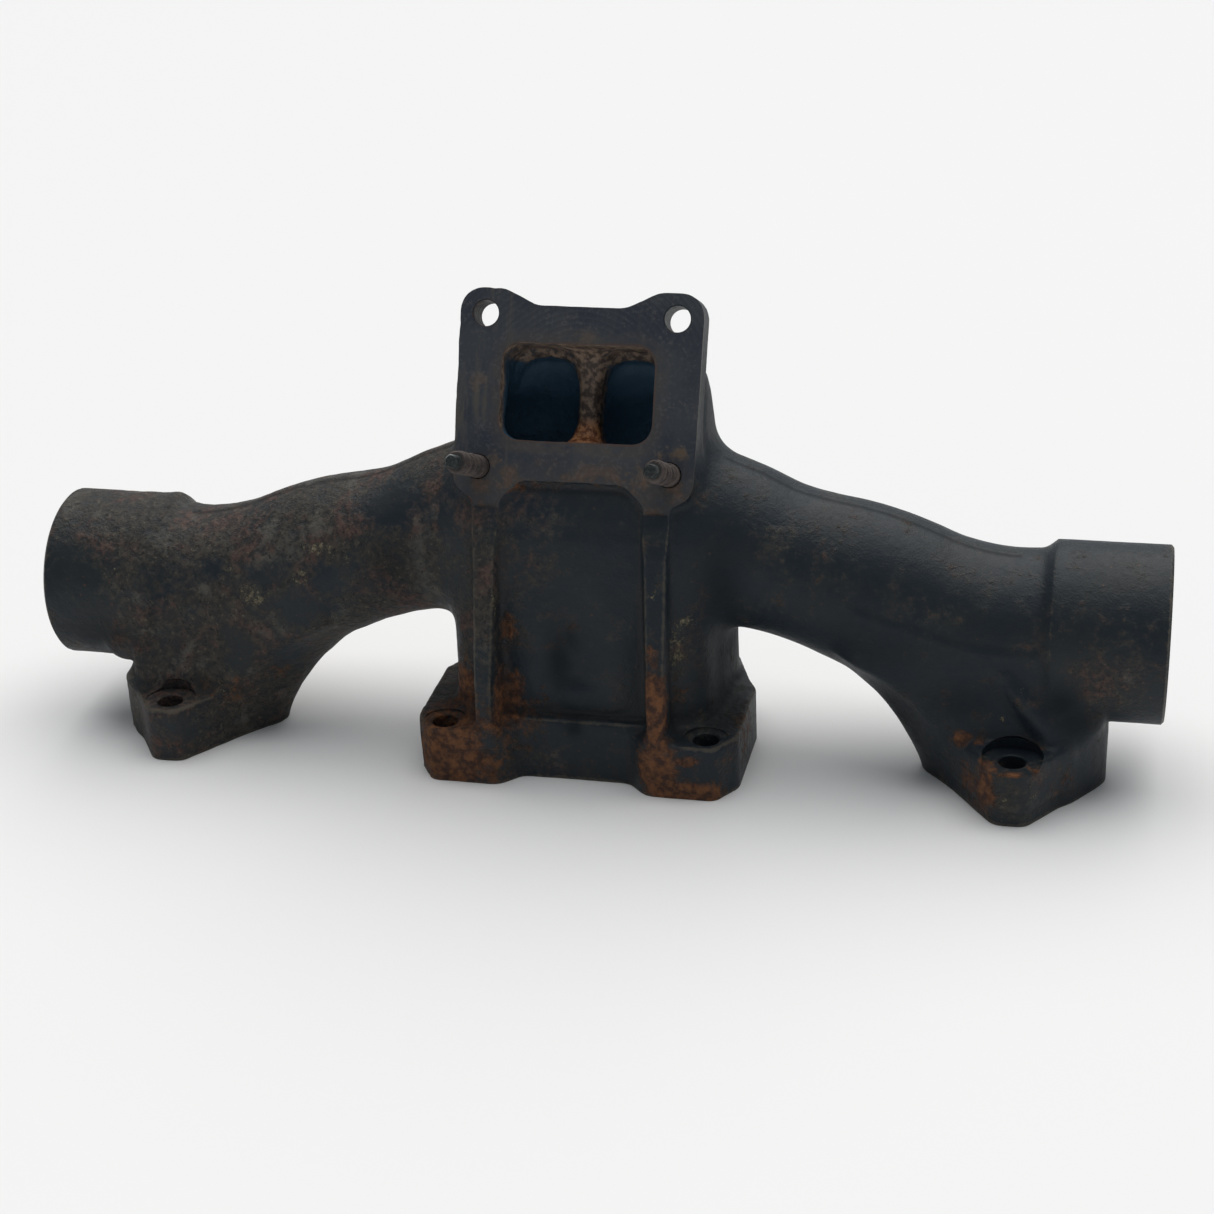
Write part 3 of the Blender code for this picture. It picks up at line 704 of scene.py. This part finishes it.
# Painted shade: each row darkens a patch that should read darker than the lamps make it, such as the panel's
# middle, the right side faces and under the right foot's brow.
PAINTED_SHADE_PATCHES = [
    (0.8, -9, -44, 78, 8, 10, 22), (0.6, -2, -44, 92, 6, 10, 12), (0.7, 88, -26, 125, 14, 30, 34),
    (0.6, 82, -31, 66, 10, 14, 18), (0.6, -316, -34, 68, 30, 14, 16), (0.55, -116, -30, 130, 20, 14, 22),
    (0.5, 76, 15, 225, 8, 30, 34), (1.0, 302, -28, 54, 18, 14, 12), (0.8, 291, -32, 66, 12, 12, 12),
    (0.5, 232, -35, 62, 24, 12, 14), (0.45, 173, -34, 92, 40, 14, 16), (0.9, 86, 0, 66, 14, 34, 34),
    (0.7, 190, -30, 40, 16, 40, 30), (0.9, 0, -50, 36, 6, 10, 6), (0.35, -10, -44, 50, 34, 10, 6),
]
# Patches of light scale. The narrow rows along the rib edges, along the top edge of the web and beside the
# right rib are painted highlights.
SCALE_AND_HIGHLIGHT_PATCHES = [
    (1.1, -165, -27, 136, 20, 10, 5), (1.0, -145, -30, 133, 4, 8, 7), (0.8, -225, -26, 118, 9, 10, 6),
    (1.0, -176, -32, 118, 9, 10, 9), (1.1, -208, -32, 103, 15, 10, 9), (0.7, -302, -32, 113, 18, 10, 8),
    (0.7, -276, -34, 95, 16, 10, 7), (0.6, -94, -2, 180, 18, 16, 9), (0.7, -239, -38, 38, 14, 8, 6),
    (0.9, -46, -47, 124, 5, 6, 12), (0.5, -59, -48, 120, 4, 8, 30), (0.8, 52, -50, 128, 8, 6, 6),
    (0.6, 66, -42, 106, 10, 8, 16), (0.5, 62, -44, 62, 7, 8, 14), (0.5, -205, -33, 60, 18, 8, 20),
    (0.7, -262, -34, 46, 22, 8, 4), (0.5, -75, -34, 36, 14, 8, 6), (1.6, 262, -68, 18, 2.4, 4, 2.2),
    (1.7, 276, -64, 19.5, 5, 5, 2.0), (1.5, 261, -68, 3.5, 1.8, 4, 1.6), (1.5, 268, -68, 3.5, 1.8, 4, 1.6),
    (1.7, 268, -35, 74, 1.6, 4, 2.4), (1.3, 256, -36, 55, 3, 4, 3), (1.0, -46, -50, 118, 3.5, 8, 15),
    (0.75, 46, -56, 96, 2.5, 12, 44), (1.05, 64, -43, 90, 9, 8, 26), (1.1, 72, -38, 106, 14, 8, 7),
    (0.75, -58.5, -48, 142, 2.5, 8, 26), (0.5, -130, -20, 150, 60, 20, 12),
    (0.5, -190, -34, 90, 36, 10, 30), (0.55, -290, -30, 110, 40, 14, 26), (0.5, 0, -51, 40.5, 40, 4, 2.5),
]


def patch_field(points, patches):
    total = np.zeros(len(points))
    for amount, *place in patches:
        total = np.maximum(total, amount * blob(points, place[:3], place[3:]))
    return total


def finished_field(grid):
    """The casting's field with its machined planes, for finding its edges."""
    z = grid.axes[2][None, None, :]
    y = grid.axes[1][None, :, None]
    x = grid.axes[0][:, None, None]
    depth = flange_coordinates(y, z)[1]
    finished = copy(grid)
    finished.field = np.maximum(np.maximum(grid.field, -z), np.maximum(np.abs(x) - HALF_LENGTH, -depth))
    return finished


def build_casting():
    grid, passages = build_field()
    one_sided_details(grid)
    vertices, quads = surface_net(grid)
    vertices = relax(grid, vertices, quads)
    normals = gradient(grid, vertices, grid.step)
    normals /= np.maximum(np.linalg.norm(normals, axis=1, keepdims=True), 1e-6)
    noise = Noise(7)
    rough = 0.25 + 0.75 * one_side(vertices, -1) + 0.6 * patch_field(vertices, RUST_PATCHES)
    lumps = 0.14 * noise(vertices, 34.0) + rough * 0.30 * noise(vertices + 150, 21.0)
    lumps += rough * (0.20 * noise(vertices + 700, 8.0) + 0.13 * noise(vertices + 900, 4.4))
    pits = unit(noise(vertices + 333, 6.5) - 0.55) * rough
    x, y, _ = vertices.T
    ridge = np.exp(-((y - COLLAR_Y) / 1.5) ** 2) * np.clip(normals[:, 2] - 0.6, 0, 0.3) / 0.3
    ridge *= (np.abs(x) > 80) * (np.abs(x) < 265) * (0.85 + 0.35 * noise(vertices, 13.0))
    vertices = vertices + normals * (lumps - 1.1 * pits + ridge)[:, None]
    vertices[:, 1] = np.minimum(vertices[:, 1], COLLAR_Y + COLLAR_R - 0.05)
    vertices[:, 2] = np.minimum(vertices[:, 2], CAD_TOP)
    casting = make_mesh("casting_iron", vertices, quads)
    machine(casting)
    mark_surface(casting.data, grid, passages)
    return casting


def mark_surface(mesh, grid, passages):
    """Store where the surface is worn, rusty or stained, where painted shade and painted highlights go, how
    deep a point lies in the passages, and give faces their material.
    """
    points = rows_of(mesh.vertices, "co") / MM
    x, y, z = points.T
    bend = curvature(finished_field(grid), points, 2.6)
    store(mesh, "edge", unit((bend - 0.10) * 2.6))
    # Painted shade in concave creases and hollows.
    store(mesh, "crease_shade", unit((-bend - 0.035) * 6.0))
    inner = unit(1.0 - sample(passages, points) / 2.5)
    store(mesh, "inner", inner)
    depth = -((points - FLANGE_CENTRE) @ FLANGE_OUT)
    height = (points - FLANGE_CENTRE) @ FLANGE_UP
    near_port = (height > -45) * (y < 40)
    wall = unit(1.0 - (depth - 3.0) / 12.0) * unit((height + 27.0) / 8.0)
    ceiling = 0.72 * unit((height - 17.0) / 5.0) * unit(1.0 - (depth - 46.0) / 20.0)
    middle = np.exp(-(x / 12.0) ** 4) * unit(1.0 - (depth - 38.0) / 14.0)
    store(mesh, "mouth", inner * near_port * np.maximum(np.maximum(wall, ceiling), middle))
    base = inner * near_port * np.exp(-(x / 16.0) ** 4) * unit((-8.0 - height) / 14.0)
    store(mesh, "base", base * unit(1.0 - (depth - 40.0) / 10.0))
    # How deep a point lies in the passages; the painted blue shade inside gets lighter with it.
    store(mesh, "deep", inner * unit((depth - 30.0) / 40.0))
    store(mesh, "rust", patch_field(points, RUST_PATCHES))
    weathered = one_side(points, -1) * np.where(x < -85, 0.62, 0.3)
    brown = np.maximum(patch_field(points, BROWN_PATCHES), weathered)
    brown -= 0.85 * patch_field(points, CLEAN_PATCHES)
    store(mesh, "brown", brown)
    # Darker line 3.6 mm in front of the casting seam on the arm tops, stored together with the painted
    # shade.
    seam = np.exp(-((y - COLLAR_Y + 3.6) / 1.1) ** 2) * (z > 120) * (np.abs(x) > 84)
    shade_and_seam = np.maximum(patch_field(points, PAINTED_SHADE_PATCHES), 0.75 * seam * (np.abs(x) < 262))
    store(mesh, "shade_and_seam", shade_and_seam)
    store(mesh, "scale_and_highlight", patch_field(points, SCALE_AND_HIGHLIGHT_PATCHES))
    centres = rows_of(mesh.polygons, "center") / MM
    directions = rows_of(mesh.polygons, "normal")
    depth = -((centres - FLANGE_CENTRE) @ FLANGE_OUT)
    flange_face = (np.abs(depth) < 0.05) & (directions @ FLANGE_OUT > 0.999)
    radius = from_axis(centres[:, 1], centres[:, 2])
    socket = (np.abs(centres[:, 0]) > 285.5) & (radius < COLLAR_R - 1.5)
    index = np.where(flange_face, 1, np.where(socket, 2, 0)).astype(np.int32)
    mesh.materials.clear()
    mesh.polygons.foreach_set("material_index", index)


# ---- materials
def tone(red, green, blue):
    """A colour given in display values from 0 to 255."""
    return tuple((c / 255.0 / 12.92) if c <= 10 else ((c / 255.0 + 0.055) / 1.055) ** 2.4
                 for c in (red, green, blue))


class Look:
    """A node material put together from short calls."""

    def __init__(self, name):
        self.material = bpy.data.materials.new(name)
        self.material.use_nodes = True
        self.tree = self.material.node_tree
        self.shader = self.tree.nodes["Principled BSDF"]
        self.place = self.node("ShaderNodeTexCoord").outputs["Object"]

    def node(self, kind, **settings):
        made = self.tree.nodes.new(kind)
        for key, value in settings.items():
            setattr(made, key, value)
        return made

    def feed(self, socket, value):
        if isinstance(value, bpy.types.NodeSocket):
            self.tree.links.new(value, socket)
        else:
            socket.default_value = value

    def texture(self, kind, size, seed, stretch=(1.0, 1.0, 1.0)):
        """Texture node with features of the given size in millimetres."""
        mapping = self.node("ShaderNodeMapping")
        mapping.inputs["Location"].default_value = (seed, seed * 1.7, -seed)
        mapping.inputs["Scale"].default_value = stretch
        self.feed(mapping.inputs["Vector"], self.place)
        made = self.node(kind)
        made.inputs["Scale"].default_value = 1.0 / (size * MM)
        self.feed(made.inputs["Vector"], mapping.outputs["Vector"])
        return made

    def noise(self, size, detail=3.0, seed=0.0, roughness=0.55, stretch=(1.0, 1.0, 1.0)):
        made = self.texture("ShaderNodeTexNoise", size, seed, stretch)
        made.inputs["Detail"].default_value = detail
        made.inputs["Roughness"].default_value = roughness
        return made.outputs["Fac"]

    def cells(self, size, seed=0.0):
        return self.texture("ShaderNodeTexVoronoi", size, seed).outputs["Distance"]

    def mark(self, name):
        return self.node("ShaderNodeAttribute", attribute_name=name).outputs["Fac"]

    def math(self, operation, a, b=0.0, clamp=False):
        made = self.node("ShaderNodeMath", operation=operation, use_clamp=clamp)
        self.feed(made.inputs[0], a)
        self.feed(made.inputs[1], b)
        return made.outputs[0]

    def times(self, a, b):
        return self.math("MULTIPLY", a, b)

    def span(self, value, low, high, bottom=0.0, top=1.0):
        """Smooth step of value from low..high to bottom..top."""
        made = self.node("ShaderNodeMapRange", interpolation_type="SMOOTHSTEP")
        for socket, number in zip(made.inputs[1:5], (low, high, bottom, top)):
            socket.default_value = number
        self.feed(made.inputs[0], value)
        return made.outputs[0]

    def mix(self, factor, a, b):
        made = self.node("ShaderNodeMix", data_type="RGBA")
        self.feed(made.inputs[0], factor)
        for socket, value in ((made.inputs[6], a), (made.inputs[7], b)):
            self.feed(socket, value if isinstance(value, bpy.types.NodeSocket) else (*tone(*value), 1.0))
        return made.outputs[2]

    def blend(self, value, low, high, a, b):
        """Colour a below low and b above high."""
        return self.mix(self.span(value, low, high), a, b)

    def cover(self, shade, amount, strength=None):
        """Lay a shade over the colour so far."""
        factor = amount if strength is None else self.times(amount, strength)
        self.color = self.mix(factor, self.color, shade)

    def past(self, value, limit):
        """How far the value is past the limit, or 0."""
        return self.math("MAXIMUM", self.math("SUBTRACT", value, limit), 0.0)

    def square(self, value, middle, size):
        return self.math("POWER", self.math("DIVIDE", self.math("SUBTRACT", value, middle), size), 2.0)

    def hypot(self, a, b):
        return self.math("SQRT", self.math("ADD", self.math("POWER", a, 2.0), self.math("POWER", b, 2.0)))

    def total(self, *parts):
        """Sum of (socket, weight) pairs."""
        result = None
        for value, weight in parts:
            part = self.times(value, weight)
            result = part if result is None else self.math("ADD", result, part)
        return result

    def reached(self, low, high, *parts):
        """0 where the weighted sum is below low, 1 where it is above high."""
        return self.span(self.total(*parts), low, high)

    def finish(self, roughness, height, depth, specular=0.3, metallic=0.0):
        """Wire the surface; depth is the relief of the height field in millimetres."""
        for name, value in (("Base Color", self.color), ("Roughness", roughness), ("Metallic", metallic),
                            ("Specular IOR Level", specular)):
            self.feed(self.shader.inputs[name], value)
        bump = self.node("ShaderNodeBump")
        bump.inputs["Strength"].default_value = 1.0
        bump.inputs["Distance"].default_value = depth * MM
        self.feed(bump.inputs["Height"], height)
        self.feed(self.shader.inputs["Normal"], bump.outputs["Normal"])
        return self.material


def cast_paint_look():
    look = Look("worn_dark_paint_on_cast_iron")
    broad, patchy = look.noise(60, 3, 1.3), look.noise(17, 5, 4.1, 0.62)
    fine, grain = look.noise(4.2, 4, 7.7, 0.6), look.noise(1.3, 3, 2.9, 0.6)
    paint = look.blend(broad, 0.35, 0.7, (27, 36, 44), (36, 41, 44))
    paint = look.mix(look.span(patchy, 0.45, 0.75, 0.0, 0.5), paint, (48, 50, 49))
    brown = look.reached(1.25, 1.95, (look.mark("brown"), 1.0), (patchy, 1.5), (fine, 0.9))
    earth = look.blend(fine, 0.38, 0.66, (46, 44, 42), (70, 65, 58))
    ruddy = look.span(look.noise(33, 6, 9.5, 0.66), 0.49, 0.6, 0.0, 0.8)
    earth = look.mix(ruddy, earth, look.blend(fine, 0.4, 0.62, (58, 44, 42), (92, 68, 60)))
    ashen = look.span(look.noise(24, 6, 12.5, 0.68), 0.53, 0.66, 0.0, 0.6)
    earth = look.mix(ashen, earth, (96, 94, 88))
    flecks = look.span(look.noise(2.6, 4, 6.6, 0.65), 0.56, 0.7, 0.0, 0.6)
    earth = look.mix(flecks, earth, (108, 101, 86))
    # Near-black spots in the weathered colour.
    dark_spots = look.span(look.noise(3.2, 3, 1.9, 0.6), 0.34, 0.42, 0.8, 0.0)
    earth = look.mix(dark_spots, earth, (22, 22, 22))
    look.color = paint
    look.cover(earth, brown, 0.85)
    worn = look.reached(1.05, 1.5, (look.mark("edge"), 1.0), (fine, 0.9), (patchy, 0.5))
    look.cover((88, 82, 72), worn, 0.6)
    # Light scale speckle, which also lays the painted highlights along the rib edges, the web top and beside
    # the right rib.
    scale_and_highlight = look.reached(1.82, 2.12, (look.mark("scale_and_highlight"), 0.75), (look.noise(3.6, 6, 5.5, 0.75), 2.4))
    scale = look.blend(look.noise(1.6, 3, 2.5), 0.4, 0.6, (96, 90, 74), (138, 129, 104))
    look.cover(scale, scale_and_highlight, 0.85)
    rust = look.reached(1.38, 1.95, (look.mark("rust"), 1.0), (patchy, 1.2), (fine, 1.1))
    orange = look.blend(look.noise(6, 5, 3.3, 0.65), 0.38, 0.64, (66, 44, 34), (122, 80, 50))
    look.cover(orange, rust, 0.85)
    specks = look.span(look.cells(9.0, 6.0), 0.05, 0.13, 1.0, 0.0)
    specks = look.times(specks, look.span(broad, 0.45, 0.6))
    look.cover((86, 60, 48), specks, 0.6)
    # Painted shade: greys the concave creases.
    look.cover((30, 30, 31), look.mark("crease_shade"), 0.5)
    # Painted shade: darkens the shade patches and the line in front of the casting seam.
    look.cover((16, 21, 25), look.mark("shade_and_seam"), 0.75)
    # Painted blue shade inside the passages, lighter deeper in, where it stands in for light; scale colours
    # near the port mouth and its base.
    painted_port_shade = look.mix(look.mark("deep"), (52, 78, 98), (76, 108, 132))
    mouth = look.reached(0.75, 1.25, (look.mark("mouth"), 1.0), (fine, 0.5), (patchy, 0.5))
    scale = look.blend(fine, 0.4, 0.62, (78, 68, 62), (148, 128, 112))
    ember = look.blend(fine, 0.4, 0.6, (104, 64, 44), (184, 132, 92))
    scale = look.blend(look.mark("base"), 0.1, 0.8, scale, ember)
    look.cover(look.mix(mouth, painted_port_shade, scale), look.mark("inner"))
    rough = look.total((brown, 0.16), (rust, 0.3), (fine, 0.22), (look.mark("shade_and_seam"), 0.4))
    rough = look.math("ADD", rough, 0.36, clamp=True)
    height = look.total((grain, 0.5), (fine, look.total((brown, 1.6), (rust, 2.2), (fine, 0.5))),
                        (look.cells(5.0, 2.0), 0.25), (scale_and_highlight, 0.5))
    return look.finish(rough, height, 0.55, 0.24)


# Rusty spots on the flange face: metres across and up from its middle, and amount.
FLANGE_SPOTS = [
    (0.060, -0.034, 0.7), (-0.047, -0.041, 0.5), (0.040, -0.046, 0.45), (-0.058, 0.004, 0.4),
    (0.0, 0.033, 0.3),
]


def flange_face_look():
    look = Look("machined_turbo_face")
    axes = look.node("ShaderNodeSeparateXYZ")
    turned = look.node("ShaderNodeMapping", vector_type="POINT")
    turned.inputs["Rotation"].default_value = (FLANGE_TILT, 0.0, 0.0)
    look.feed(turned.inputs["Vector"], look.place)
    look.feed(axes.inputs[0], turned.outputs["Vector"])
    middle = Matrix.Rotation(FLANGE_TILT, 3, "X") @ Vector([c * MM for c in FLANGE_CENTRE])
    u = look.math("ABSOLUTE", axes.outputs["X"])
    v = look.math("SUBTRACT", axes.outputs["Z"], middle.z)
    past_u = look.past(u, (PORT_HALF_X - PORT_R) * MM)
    past_v = look.past(look.math("ABSOLUTE", v), (PORT_HALF_V - PORT_R) * MM)
    away = look.hypot(past_u, past_v)
    away = look.math("SUBTRACT", away, PORT_R * MM)
    radius = look.hypot(u, v)
    broad, patchy = look.noise(34, 4, 2.2), look.noise(11, 5, 8.3, 0.6)
    fine, streak = look.noise(2.2, 4, 1.1), look.noise(7, 4, 3.0, 0.6, (1.0, 0.12, 0.12))
    wobble = look.math("ADD", away, look.times(look.math("SUBTRACT", patchy, 0.5), 0.006))
    ring = look.span(wobble, 0.003, 0.011, 1.0, 0.0)
    low = look.span(v, -0.040, -0.026, 1.0, 0.45)
    look.color = look.blend(broad, 0.35, 0.65, (48, 54, 64), (60, 64, 70))
    apron = look.times(look.span(v, -0.056, -0.030, 1.0, 0.0), look.span(patchy, 0.36, 0.58, 0.35, 0.9))
    look.cover((66, 62, 60), apron)
    left = look.span(axes.outputs["X"], -0.06, -0.02, 0.6, 0.1)
    look.cover((92, 86, 76), look.span(streak, 0.5, 0.68), left)
    stain = look.times(look.times(ring, low), look.span(patchy, 0.32, 0.55))
    look.cover((86, 76, 66), stain, 0.75)
    for across, upward, amount in FLANGE_SPOTS:
        du = look.square(axes.outputs["X"], across, 0.010)
        dv = look.square(v, upward, 0.006)
        spot = look.reached(1.55, 2.15, (look.math("ADD", du, dv), -0.32), (patchy, 2.6), (fine, 1.2))
        look.cover((108, 88, 68), spot, amount)
    wear = look.times(look.span(fine, 0.5, 0.64), look.span(patchy, 0.42, 0.6, 0.15, 0.55))
    look.cover((84, 84, 86), wear)
    lip = look.span(wobble, -0.001, 0.0022, 1.0, 0.0)
    look.cover((88, 66, 52), lip, 0.7)
    lower = look.times(look.span(v, -0.05, -0.034, 1.0, 0.0), look.span(patchy, 0.5, 0.64))
    look.cover((104, 78, 58), lower, 0.4)
    arcs = look.math("SINE", look.times(radius, math.tau / 0.0036))
    arcs = look.times(arcs, look.span(v, 0.028, 0.040))
    look.cover((40, 42, 48), look.span(arcs, 0.2, 1.0), 0.2)
    height = look.total((arcs, 0.5), (fine, 0.35), (patchy, 0.8), (streak, 0.4))
    rough = look.math("ADD", look.times(patchy, 0.35), 0.36)
    return look.finish(rough, height, 0.22, 0.35, 0.15)


def socket_look():
    look = Look("bored_socket_iron")
    patchy, fine = look.noise(14, 5, 2.0, 0.6), look.noise(2.6, 4, 5.0)
    turned = look.noise(1.1, 2, 1.0, 0.5, (1.0, 0.06, 0.06))
    look.color = look.blend(patchy, 0.38, 0.62, (78, 66, 58), (104, 72, 50))
    look.cover((52, 48, 46), look.span(fine, 0.5, 0.7))
    height = look.total((turned, 0.6), (fine, 0.8))
    return look.finish(look.math("ADD", look.times(fine, 0.4), 0.42), height, 0.2, 0.35, 0.25)


def stud_look():
    look = Look("rusty_turbo_stud_steel")
    patchy, fine = look.noise(6, 5, 3.1, 0.6), look.noise(1.4, 4, 1.9)
    look.color = look.blend(patchy, 0.4, 0.62, (88, 78, 74), (66, 60, 60))
    look.cover((112, 94, 80), look.span(fine, 0.5, 0.7, 0.0, 0.5))
    # Painted shade: darkens the thread roots and the narrowed bands.
    look.cover((34, 30, 30), look.mark("groove"), 0.7)
    look.cover(look.blend(fine, 0.4, 0.6, (34, 38, 39), (58, 62, 62)), look.mark("tip"))
    # Painted highlight: one near-white spot on each stud.
    look.cover((168, 175, 175), look.mark("painted_highlight"))
    height = look.total((patchy, 0.7), (fine, 0.8))
    return look.finish(look.math("ADD", look.times(fine, 0.4), 0.35), height, 0.25, 0.4, 0.25)


def seal_look():
    look = Look("scaled_seal_ring_iron")
    patchy, fine = look.noise(9, 4, 1.0), look.noise(1.6, 4, 2.0)
    look.color = look.blend(patchy, 0.4, 0.6, (82, 78, 76), (98, 72, 54))
    height = look.total((patchy, 0.5), (fine, 0.7))
    return look.finish(look.math("ADD", look.times(fine, 0.4), 0.35), height, 0.12, 0.4, 0.5)


# ---- studs and seal rings
def tube_mesh(name, rings, closed_ends):
    """Skin rows of points; each row is one closed ring."""
    points = [p for ring in rings for p in ring]
    obj = solid_object(name, [(points, skin_faces(len(rings), len(rings[0]), closed_ends))])
    obj.data.shade_smooth()
    obj.data.set_sharp_from_angle(angle=math.radians(50))
    return obj


STUD_START, STUD_END, DRIVE_LENGTH, DRIVE_R = -21.8, 56.3, 9.0, 4.1
THREAD_PITCH, THREAD_DEPTH = 2.0, 1.15


def stud_ring(centre, radii, turns):
    return [centre + np.array([r * math.cos(t), 0.0, 0.0]) + FLANGE_UP * r * math.sin(t)
            for r, t in zip(radii, turns)]


def build_stud(side, name, seed, glint_ring, glint_turn):
    """Worn threaded stud with a reduced hexagonal drive end, painted shade in its thread roots and one
    painted highlight.
    """
    base = on_flange(side * FLANGE_HOLE_X, -FLANGE_HOLE_V)
    steps = np.arange(STUD_START, STUD_END - DRIVE_LENGTH, THREAD_PITCH / 8)
    turns = np.linspace(0, math.tau, 40, endpoint=False)
    noise = Noise(seed)
    rings, tips, grooves = [], [], []
    for reach in steps:
        phase = (reach / THREAD_PITCH - turns / math.tau) % 1.0
        crest = unit(1.35 - np.abs(phase - 0.5) * 3.4)
        spots = np.stack([np.cos(turns) * 7, np.sin(turns) * 7, np.full(40, reach)], axis=1)
        wear = np.clip(0.72 + 0.5 * noise(spots + 40, 6.0), 0.15, 1.0)
        shoulder = min(1.0, (STUD_END - DRIVE_LENGTH - reach) / 1.4 + 0.35)
        runout = unit((reach - 1.5) / 4.0) if reach > 0 else 1.0
        radius = STUD_R - 0.1 - THREAD_DEPTH * (1 - crest * wear) * runout
        radius = radius + 0.12 * noise(spots, 2.2) * (reach > 1)
        waist = 1.0 - (reach / 9.0 + 0.37 * seed) % 1.0
        radius = np.minimum(radius - 0.95 * waist**1.6 * (reach > 4), STUD_R - 0.02)
        radius = radius * (0.84 + 0.16 * shoulder)
        rings.append(stud_ring(base + FLANGE_OUT * reach, radius, turns))
        tips.append(0.0)
        # Painted shade in the thread roots and the narrowed bands.
        grooves.append(unit(1.0 - crest * wear) * 0.5 + 0.9 * waist**5)
    drive = ((0.02, 1.0), (0.5, 1.06), (1.2, 1.0), (DRIVE_LENGTH - 0.8, 1.0), (DRIVE_LENGTH, 0.84))
    for reach, scale in drive:
        hexed = DRIVE_R * scale * 0.93 / np.cos((turns + 0.3) % (math.pi / 3) - math.pi / 6)
        radius = np.minimum(hexed, DRIVE_R * scale)
        start = base + FLANGE_OUT * (STUD_END - DRIVE_LENGTH + reach)
        rings.append(stud_ring(start, radius, turns))
        tips.append(1.0)
        grooves.append(np.zeros(40))
    stud = tube_mesh(name, rings, True)
    store(stud.data, "tip", np.repeat(tips, 40))
    store(stud.data, "groove", np.concatenate(grooves))
    # Painted highlight: a bright spot on one ring, at one turn.
    glint = np.zeros((len(rings), 40))
    glint[glint_ring] = np.exp(-((turns - glint_turn) / 0.75) ** 4)
    store(stud.data, "painted_highlight", glint.ravel())
    return stud


def build_ring(side, start, name, seed):
    """Gapless seal ring with rounded edges, seated in its groove."""
    noise = Noise(seed)
    outer, inner, width = 48.4, 44.4, 5.0
    profile = []
    for cu, cv, a in ((1, 1, 0), (-1, 1, 90), (-1, -1, 180), (1, -1, 270)):
        for k in range(5):
            turn = math.radians(a + 22.5 * k)
            profile.append(((outer + inner) / 2 + cu * ((outer - inner) / 2 - 0.5) + 0.5 * math.cos(turn),
                            width / 2 + cv * (width / 2 - 0.5) + 0.5 * math.sin(turn)))
    rings = []
    for k in range(128):
        turn = math.tau * k / 128
        row = []
        for radius, reach in profile:
            spot = np.array([[radius * math.cos(turn), radius * math.sin(turn), reach]])
            radius = radius - 0.08 * abs(noise(spot, 3.0)[0])
            row.append(np.array([side * (start + reach), COLLAR_Y + radius * math.cos(turn),
                                 COLLAR_Z + radius * math.sin(turn)]))
        rings.append(row)
    return tube_mesh(name, rings, False)


casting = build_casting()
for look in (cast_paint_look(), flange_face_look(), socket_look()):
    casting.data.materials.append(look)
casting.data.shade_smooth()
casting.data.set_sharp_from_angle(angle=math.radians(40))
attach(casting, "root")
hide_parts("manifold_casting")

stud_material = stud_look()
# ring and turn place each stud's painted highlight.
for side, word, seed, ring, turn in ((-1, "left", 21, -2, 2.0), (1, "right", 22, -7, 1.3)):
    stud = build_stud(side, f"stud_{word}_threads", seed, ring, turn)
    stud.data.materials.append(stud_material)
    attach(stud, "root")
    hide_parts(f"turbo_stud_{word}")

seal_material = seal_look()
for side, word in ((-1, "left"), (1, "right")):
    for start, place in zip(RING_X, ("inner", "outer")):
        ring = build_ring(side, start, f"seal_{word}_{place}", int(start) + side)
        ring.data.materials.append(seal_material)
        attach(ring, "root")
        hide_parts(f"seal_ring_{word}_{place}")


# ---- floor, light, camera
bm = bmesh.new()
bmesh.ops.create_grid(bm, x_segments=2, y_segments=2, size=8.0)
floor = object_from("studio_floor", bm)
floor.location.z = -0.0002
floor_material = bpy.data.materials.new("studio_floor_pale")
floor_material.use_nodes = True
floor_shader = floor_material.node_tree.nodes["Principled BSDF"].inputs
floor_shader["Base Color"].default_value = (0.86, 0.86, 0.86, 1.0)
floor_shader["Roughness"].default_value = 0.9
floor.data.materials.append(floor_material)

world = bpy.data.worlds.new("studio_world")
world.use_nodes = True
backdrop = world.node_tree.nodes["Background"].inputs
backdrop["Color"].default_value = (0.86, 0.93, 1.0, 1.0)
backdrop["Strength"].default_value = 0.24
bpy.context.scene.world = world
sky = bpy.data.lights.new("soft_overhead", "SUN")
sky.energy = 2.9
sky.angle = math.radians(80.0)
sky.color = (1.0, 0.985, 0.96)
sky_lamp = link_object("soft_overhead", sky)
sky_lamp.rotation_euler = Vector((0.05, 0.42, 1.0)).to_track_quat("Z", "Y").to_euler()
bpy.context.scene.view_settings.view_transform = "Standard"

camera_data = bpy.data.cameras.new("camera")
camera_data.sensor_width = 36.0
camera_data.lens = 67.1
camera_data.clip_end = 50.0
camera = link_object("camera", camera_data)
# Directions of the camera: to its right, up and ahead.
right, up, ahead = (0.97484, 0.21918, -0.04054), (-0.05912, 0.42961, 0.90108), (-0.21491, 0.87602, -0.43176)
rotation = Matrix((right, up, [-c for c in ahead])).transposed()
camera.matrix_world = Matrix.Translation((0.3126, -1.2275, 0.6992)) @ rotation.to_4x4()
bpy.context.scene.camera = camera
